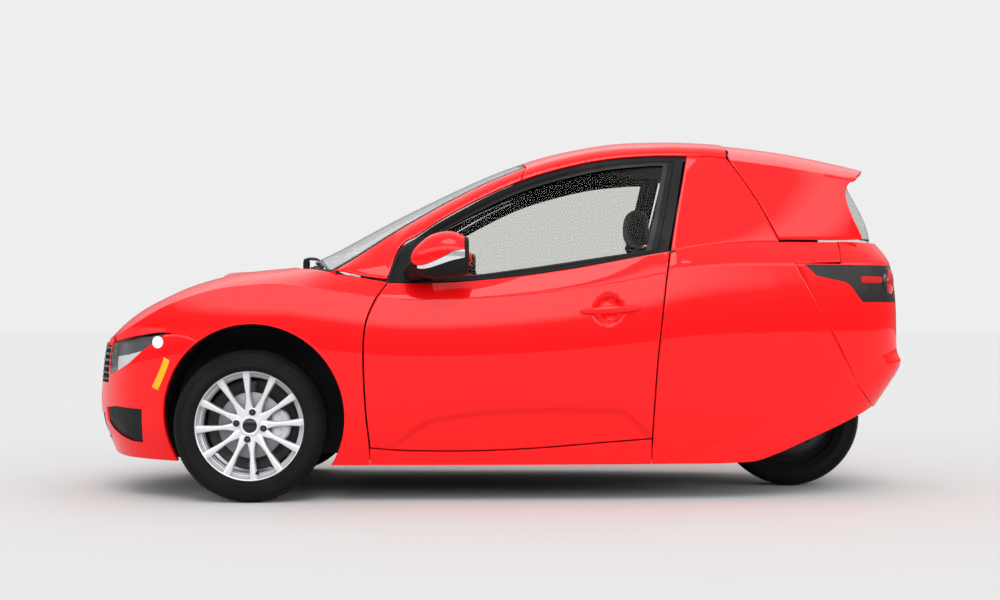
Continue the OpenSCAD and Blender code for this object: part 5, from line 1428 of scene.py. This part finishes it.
# ---------------------------------------------------------------- seat: stuffed pads on a moulded shell
def cushion(name, sections, material, swell=5.0):
    """Pad through cross sections, blown up as cloth from a slightly smaller shape."""
    mesh = finished(lofted(sections), ("REMESH", dict(mode="VOXEL", voxel_size=0.0075)))
    rest = [v.co.copy() for v in mesh.vertices]
    pad = put("pad", mesh)
    cloth = pad.modifiers.new("cloth", "CLOTH")
    cloth.settings.use_pressure, cloth.settings.uniform_pressure_force = True, 4
    cloth.settings.effector_weights.gravity = 0
    cloth.settings.quality = 4
    cloth.point_cache.frame_start, cloth.point_cache.frame_end = 1, 20
    for step in range(1, 21):
        bpy.context.scene.frame_set(step)
    mesh = bpy.data.meshes.new_from_object(pad.evaluated_get(bpy.context.evaluated_depsgraph_get()))
    bpy.data.objects.remove(pad)
    bpy.context.scene.frame_set(1)
    for v, start in zip(mesh.vertices, rest):
        move = v.co - start
        if move.length > swell * MM:
            v.co = start + move.normalized() * swell * MM
    mesh = finished(mesh, ("SUBSURF", dict(levels=1, render_levels=1)))
    piece = keep(name, mesh, material, smooth=70)
    return piece


def pad_section(a, b, wide, thick_, bolster, count=28):
    """Ring across a pad whose middle line runs from side to side at point a and whose face looks to b."""
    a, b = np.array(a, float), np.array(b, float)
    out = (b - a) / np.linalg.norm(b - a)
    ring = []
    for k in range(count):
        t = math.tau * k / count
        c, s = math.cos(t), math.sin(t)
        y = wide * math.copysign(abs(c) ** 0.55, c)
        lift = bolster * abs(c) ** 3 if s > 0 else 0
        v = thick_ * math.copysign(abs(s) ** 0.6, s) + lift
        ring.append((a[0] + out[0] * v, y, a[1] + out[1] * v))
    return ring


# For each section: a point on the pad's middle line, the point it faces, half width, half thickness, bolster
base_line = [((62, 364), (70, 420), 196, 38, 4), ((0, 372), (4, 430), 214, 44, 12),
             ((-120, 366), (-114, 430), 222, 44, 24), ((-260, 356), (-240, 430), 224, 44, 30),
             ((-360, 360), (-320, 420), 218, 42, 30), ((-425, 372), (-370, 420), 200, 34, 16)]
back_line = [((-452, 420), (-400, 440), 196, 34, 14), ((-474, 500), (-410, 520), 216, 44, 30),
             ((-498, 610), (-430, 628), 222, 44, 38), ((-520, 730), (-450, 745), 212, 42, 34),
             ((-541, 840), (-470, 852), 186, 36, 18), ((-553, 900), (-490, 910), 150, 26, 6)]
head_line = [((-552, 934), (-500, 940), 96, 30, 2), ((-550, 955), (-500, 960), 122, 42, 6),
             ((-548, 1000), (-500, 1004), 126, 46, 8), ((-552, 1046), (-500, 1050), 112, 42, 4),
             ((-558, 1068), (-510, 1076), 84, 28, 0)]


def smoothed(line, each=5):
    flat = curve_through([(*a, *b, w, t, r) for a, b, w, t, r in line], each)
    return [pad_section(v[0:2], v[2:4], v[4], v[5], v[6]) for v in flat]


cushion("seat_cushion", smoothed(base_line), FABRIC)
cushion("seat_back", smoothed(back_line), FABRIC)
cushion("seat_headrest", smoothed(head_line), FABRIC)
shell = slab([(74, 302), (84, 352), (-380, 330), (-440, 372), (-492, 480), (-566, 780), (-588, 900),
              (-600, 902), (-604, 760), (-560, 480), (-500, 330), (-470, 302)], -206, 206, 8, 3)
keep("seat_shell", shell, CABIN, replaces=["seat"])
stems = [tube([(-575, s * 55, 880), (-570, s * 55, 950), (-560, s * 55, 990)], 6, 12) for s in (-1, 1)]
keep("headrest_stems", joined(*stems), CHROME)

# ---------------------------------------------------------------- parts underneath
BEAM = ((1370, 320), (1396, 320), (1400, 336), (1388, 348), (1388, 362), (1400, 374), (1396, 390),
        (1370, 390))
bar = rounded(lofted([[(x, y, z) for x, z in BEAM] for y in np.linspace(-390, 390, 25)]), 2)
tow_tube = turned([(8, 1396), (17, 1396), (17, 1494), (15, 1497), (8, 1497)], 48, (0, *TOW), "X")
brackets = [brick((1331, s * 300 - 30, 345), (1372, s * 300 + 30, 480), 4) for s in (-1, 1)]
keep("crash_beam_bar", joined(bar, tow_tube, *brackets), BLACK_STEEL,
     replaces=["crash_beam"])
wheel_pair("brake_dust_shield", turned([(63, -50), (150, -50), (162, -46), (164, -44), (164, -48), (162, -50),
                                        (150, -54), (63, -54)], 96), BLACK_STEEL,
           bodies=("steered_left", "steered_right"))
swing_tubes = [tube([(-722, y, WHEEL_R), (-900, y, 268), (-1100, y, WHEEL_R)], [26, 24, 22], 24)
               for y in (-114.5, 114.5)]
keep("swing_arm_skin", joined(*swing_tubes), BLACK_STEEL)

# ---------------------------------------------------------------- finishes of the carried-over parts
PLAIN = {"chassis_black": CHASSIS, "cast_grey": CAST, "black_trim": TRIM, "glass": SIDE_GLASS,
         "seat_fabric": FABRIC, "cabin_plastic": CABIN, "red_paint": RED, "clear_lamp": LENS,
         "amber_lens": AMBER, "alloy": ALLOY, "tail_lamp_black": GLOSS_TAIL, "caliper_silver": CALIPER,
         "disc_steel": STEEL, "steel_wheel": WHEEL_STEEL, "tyre": RUBBER}
for thing in list(bpy.data.objects):
    if "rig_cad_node" in thing and thing.data.materials:
        slot = thing.data.materials[0].name.split(".")[0]
        coat = next((m for key, m in PLAIN.items() if key in slot), CHASSIS)
        thing.data.materials.clear()
        thing.data.materials.append(coat)

# ---------------------------------------------------------------- floor, light and camera
BACKGROUND = (0.855, 0.855, 0.855, 1)
PAPER, PAPER_LIGHT, FLOOR_HALF, FLOOR_Z = (0.625,) * 3, (0.629,) * 3, 60, -0.001
floor, nodes, links, bsdf = shader("floor_paper", PAPER, 1.0, Specular_IOR_Level=0.0)
toned(nodes, links, bsdf, ranged(nodes, links, noise(nodes, links, 2, 2), 0, 1), PAPER, PAPER_LIGHT)
mesh = bpy.data.meshes.new("floor")
mesh.from_pydata([(x * FLOOR_HALF, y * FLOOR_HALF, FLOOR_Z) for x, y in ((-1, -1), (1, -1), (1, 1), (-1, 1))],
                 [], [(0, 1, 2, 3)])
mesh.materials.append(floor)
put("floor", mesh)

# Studio air: it brightens upwards, with a bright strip low down on the camera's side. Seen straight, or
# through glass, it is one pale tone.
world = bpy.data.worlds.new("studio")
bpy.context.scene.world = world
world.use_nodes = True
nodes, links = world.node_tree.nodes, world.node_tree.links
where, parts = nodes.new("ShaderNodeTexCoord"), nodes.new("ShaderNodeSeparateXYZ")
links.new(where.outputs["Generated"], parts.inputs[0])
up, sky = parts.outputs["Z"], world.node_tree
strip = maths(sky, "MULTIPLY", ranged(nodes, links, up, 0, 2.6, 0.17, 0.26),
              ranged(nodes, links, up, 1, 0, 0.36, 0.46))
near = ranged(nodes, links, parts.outputs["Y"], 0, 1, -0.1, 0.35)
height = maths(sky, "ADD", ranged(nodes, links, up, 0.18, 0.9, 0.04, 0.42),
               maths(sky, "MULTIPLY", strip, near))
path = nodes.new("ShaderNodeLightPath")
seen = maths(sky, "MAXIMUM", path.outputs["Is Camera Ray"], path.outputs["Is Transmission Ray"])
air, flat_air, chosen = (nodes.new("ShaderNodeBackground"), nodes.new("ShaderNodeBackground"),
                         nodes.new("ShaderNodeMixShader"))
links.new(height, air.inputs["Strength"])
air.inputs["Color"].default_value = (1, 1, 1, 1)
flat_air.inputs["Color"].default_value = BACKGROUND
links.new(seen, chosen.inputs[0])
links.new(air.outputs[0], chosen.inputs[1])
links.new(flat_air.outputs[0], chosen.inputs[2])
links.new(chosen.outputs[0], nodes["World Output"].inputs["Surface"])


def soft_sun(name, aim, power, spread):
    light = bpy.data.lights.new(name, "SUN")
    light.energy, light.angle = power, math.radians(spread)
    put(name, light).rotation_euler = Vector(aim).to_track_quat("-Z", "Y").to_euler()


soft_sun("left_softbox", (0.05, -0.66, -0.75), 1.05, 32)
soft_sun("right_softbox", (0.0, 0.6, -0.8), 0.3, 70)

camera = bpy.data.cameras.new("camera")
camera.sensor_width, camera.lens, camera.shift_y = 36, 60.97, 0.016
eye = put("camera", camera)
eye.location = (-0.016, 6.66, 0.66)
eye.rotation_euler = (math.pi / 2, 0, math.pi)
bpy.context.scene.camera = eye
bpy.context.scene.view_settings.view_transform = "Standard"

for tool in CUTTERS:
    bpy.data.objects.remove(tool)
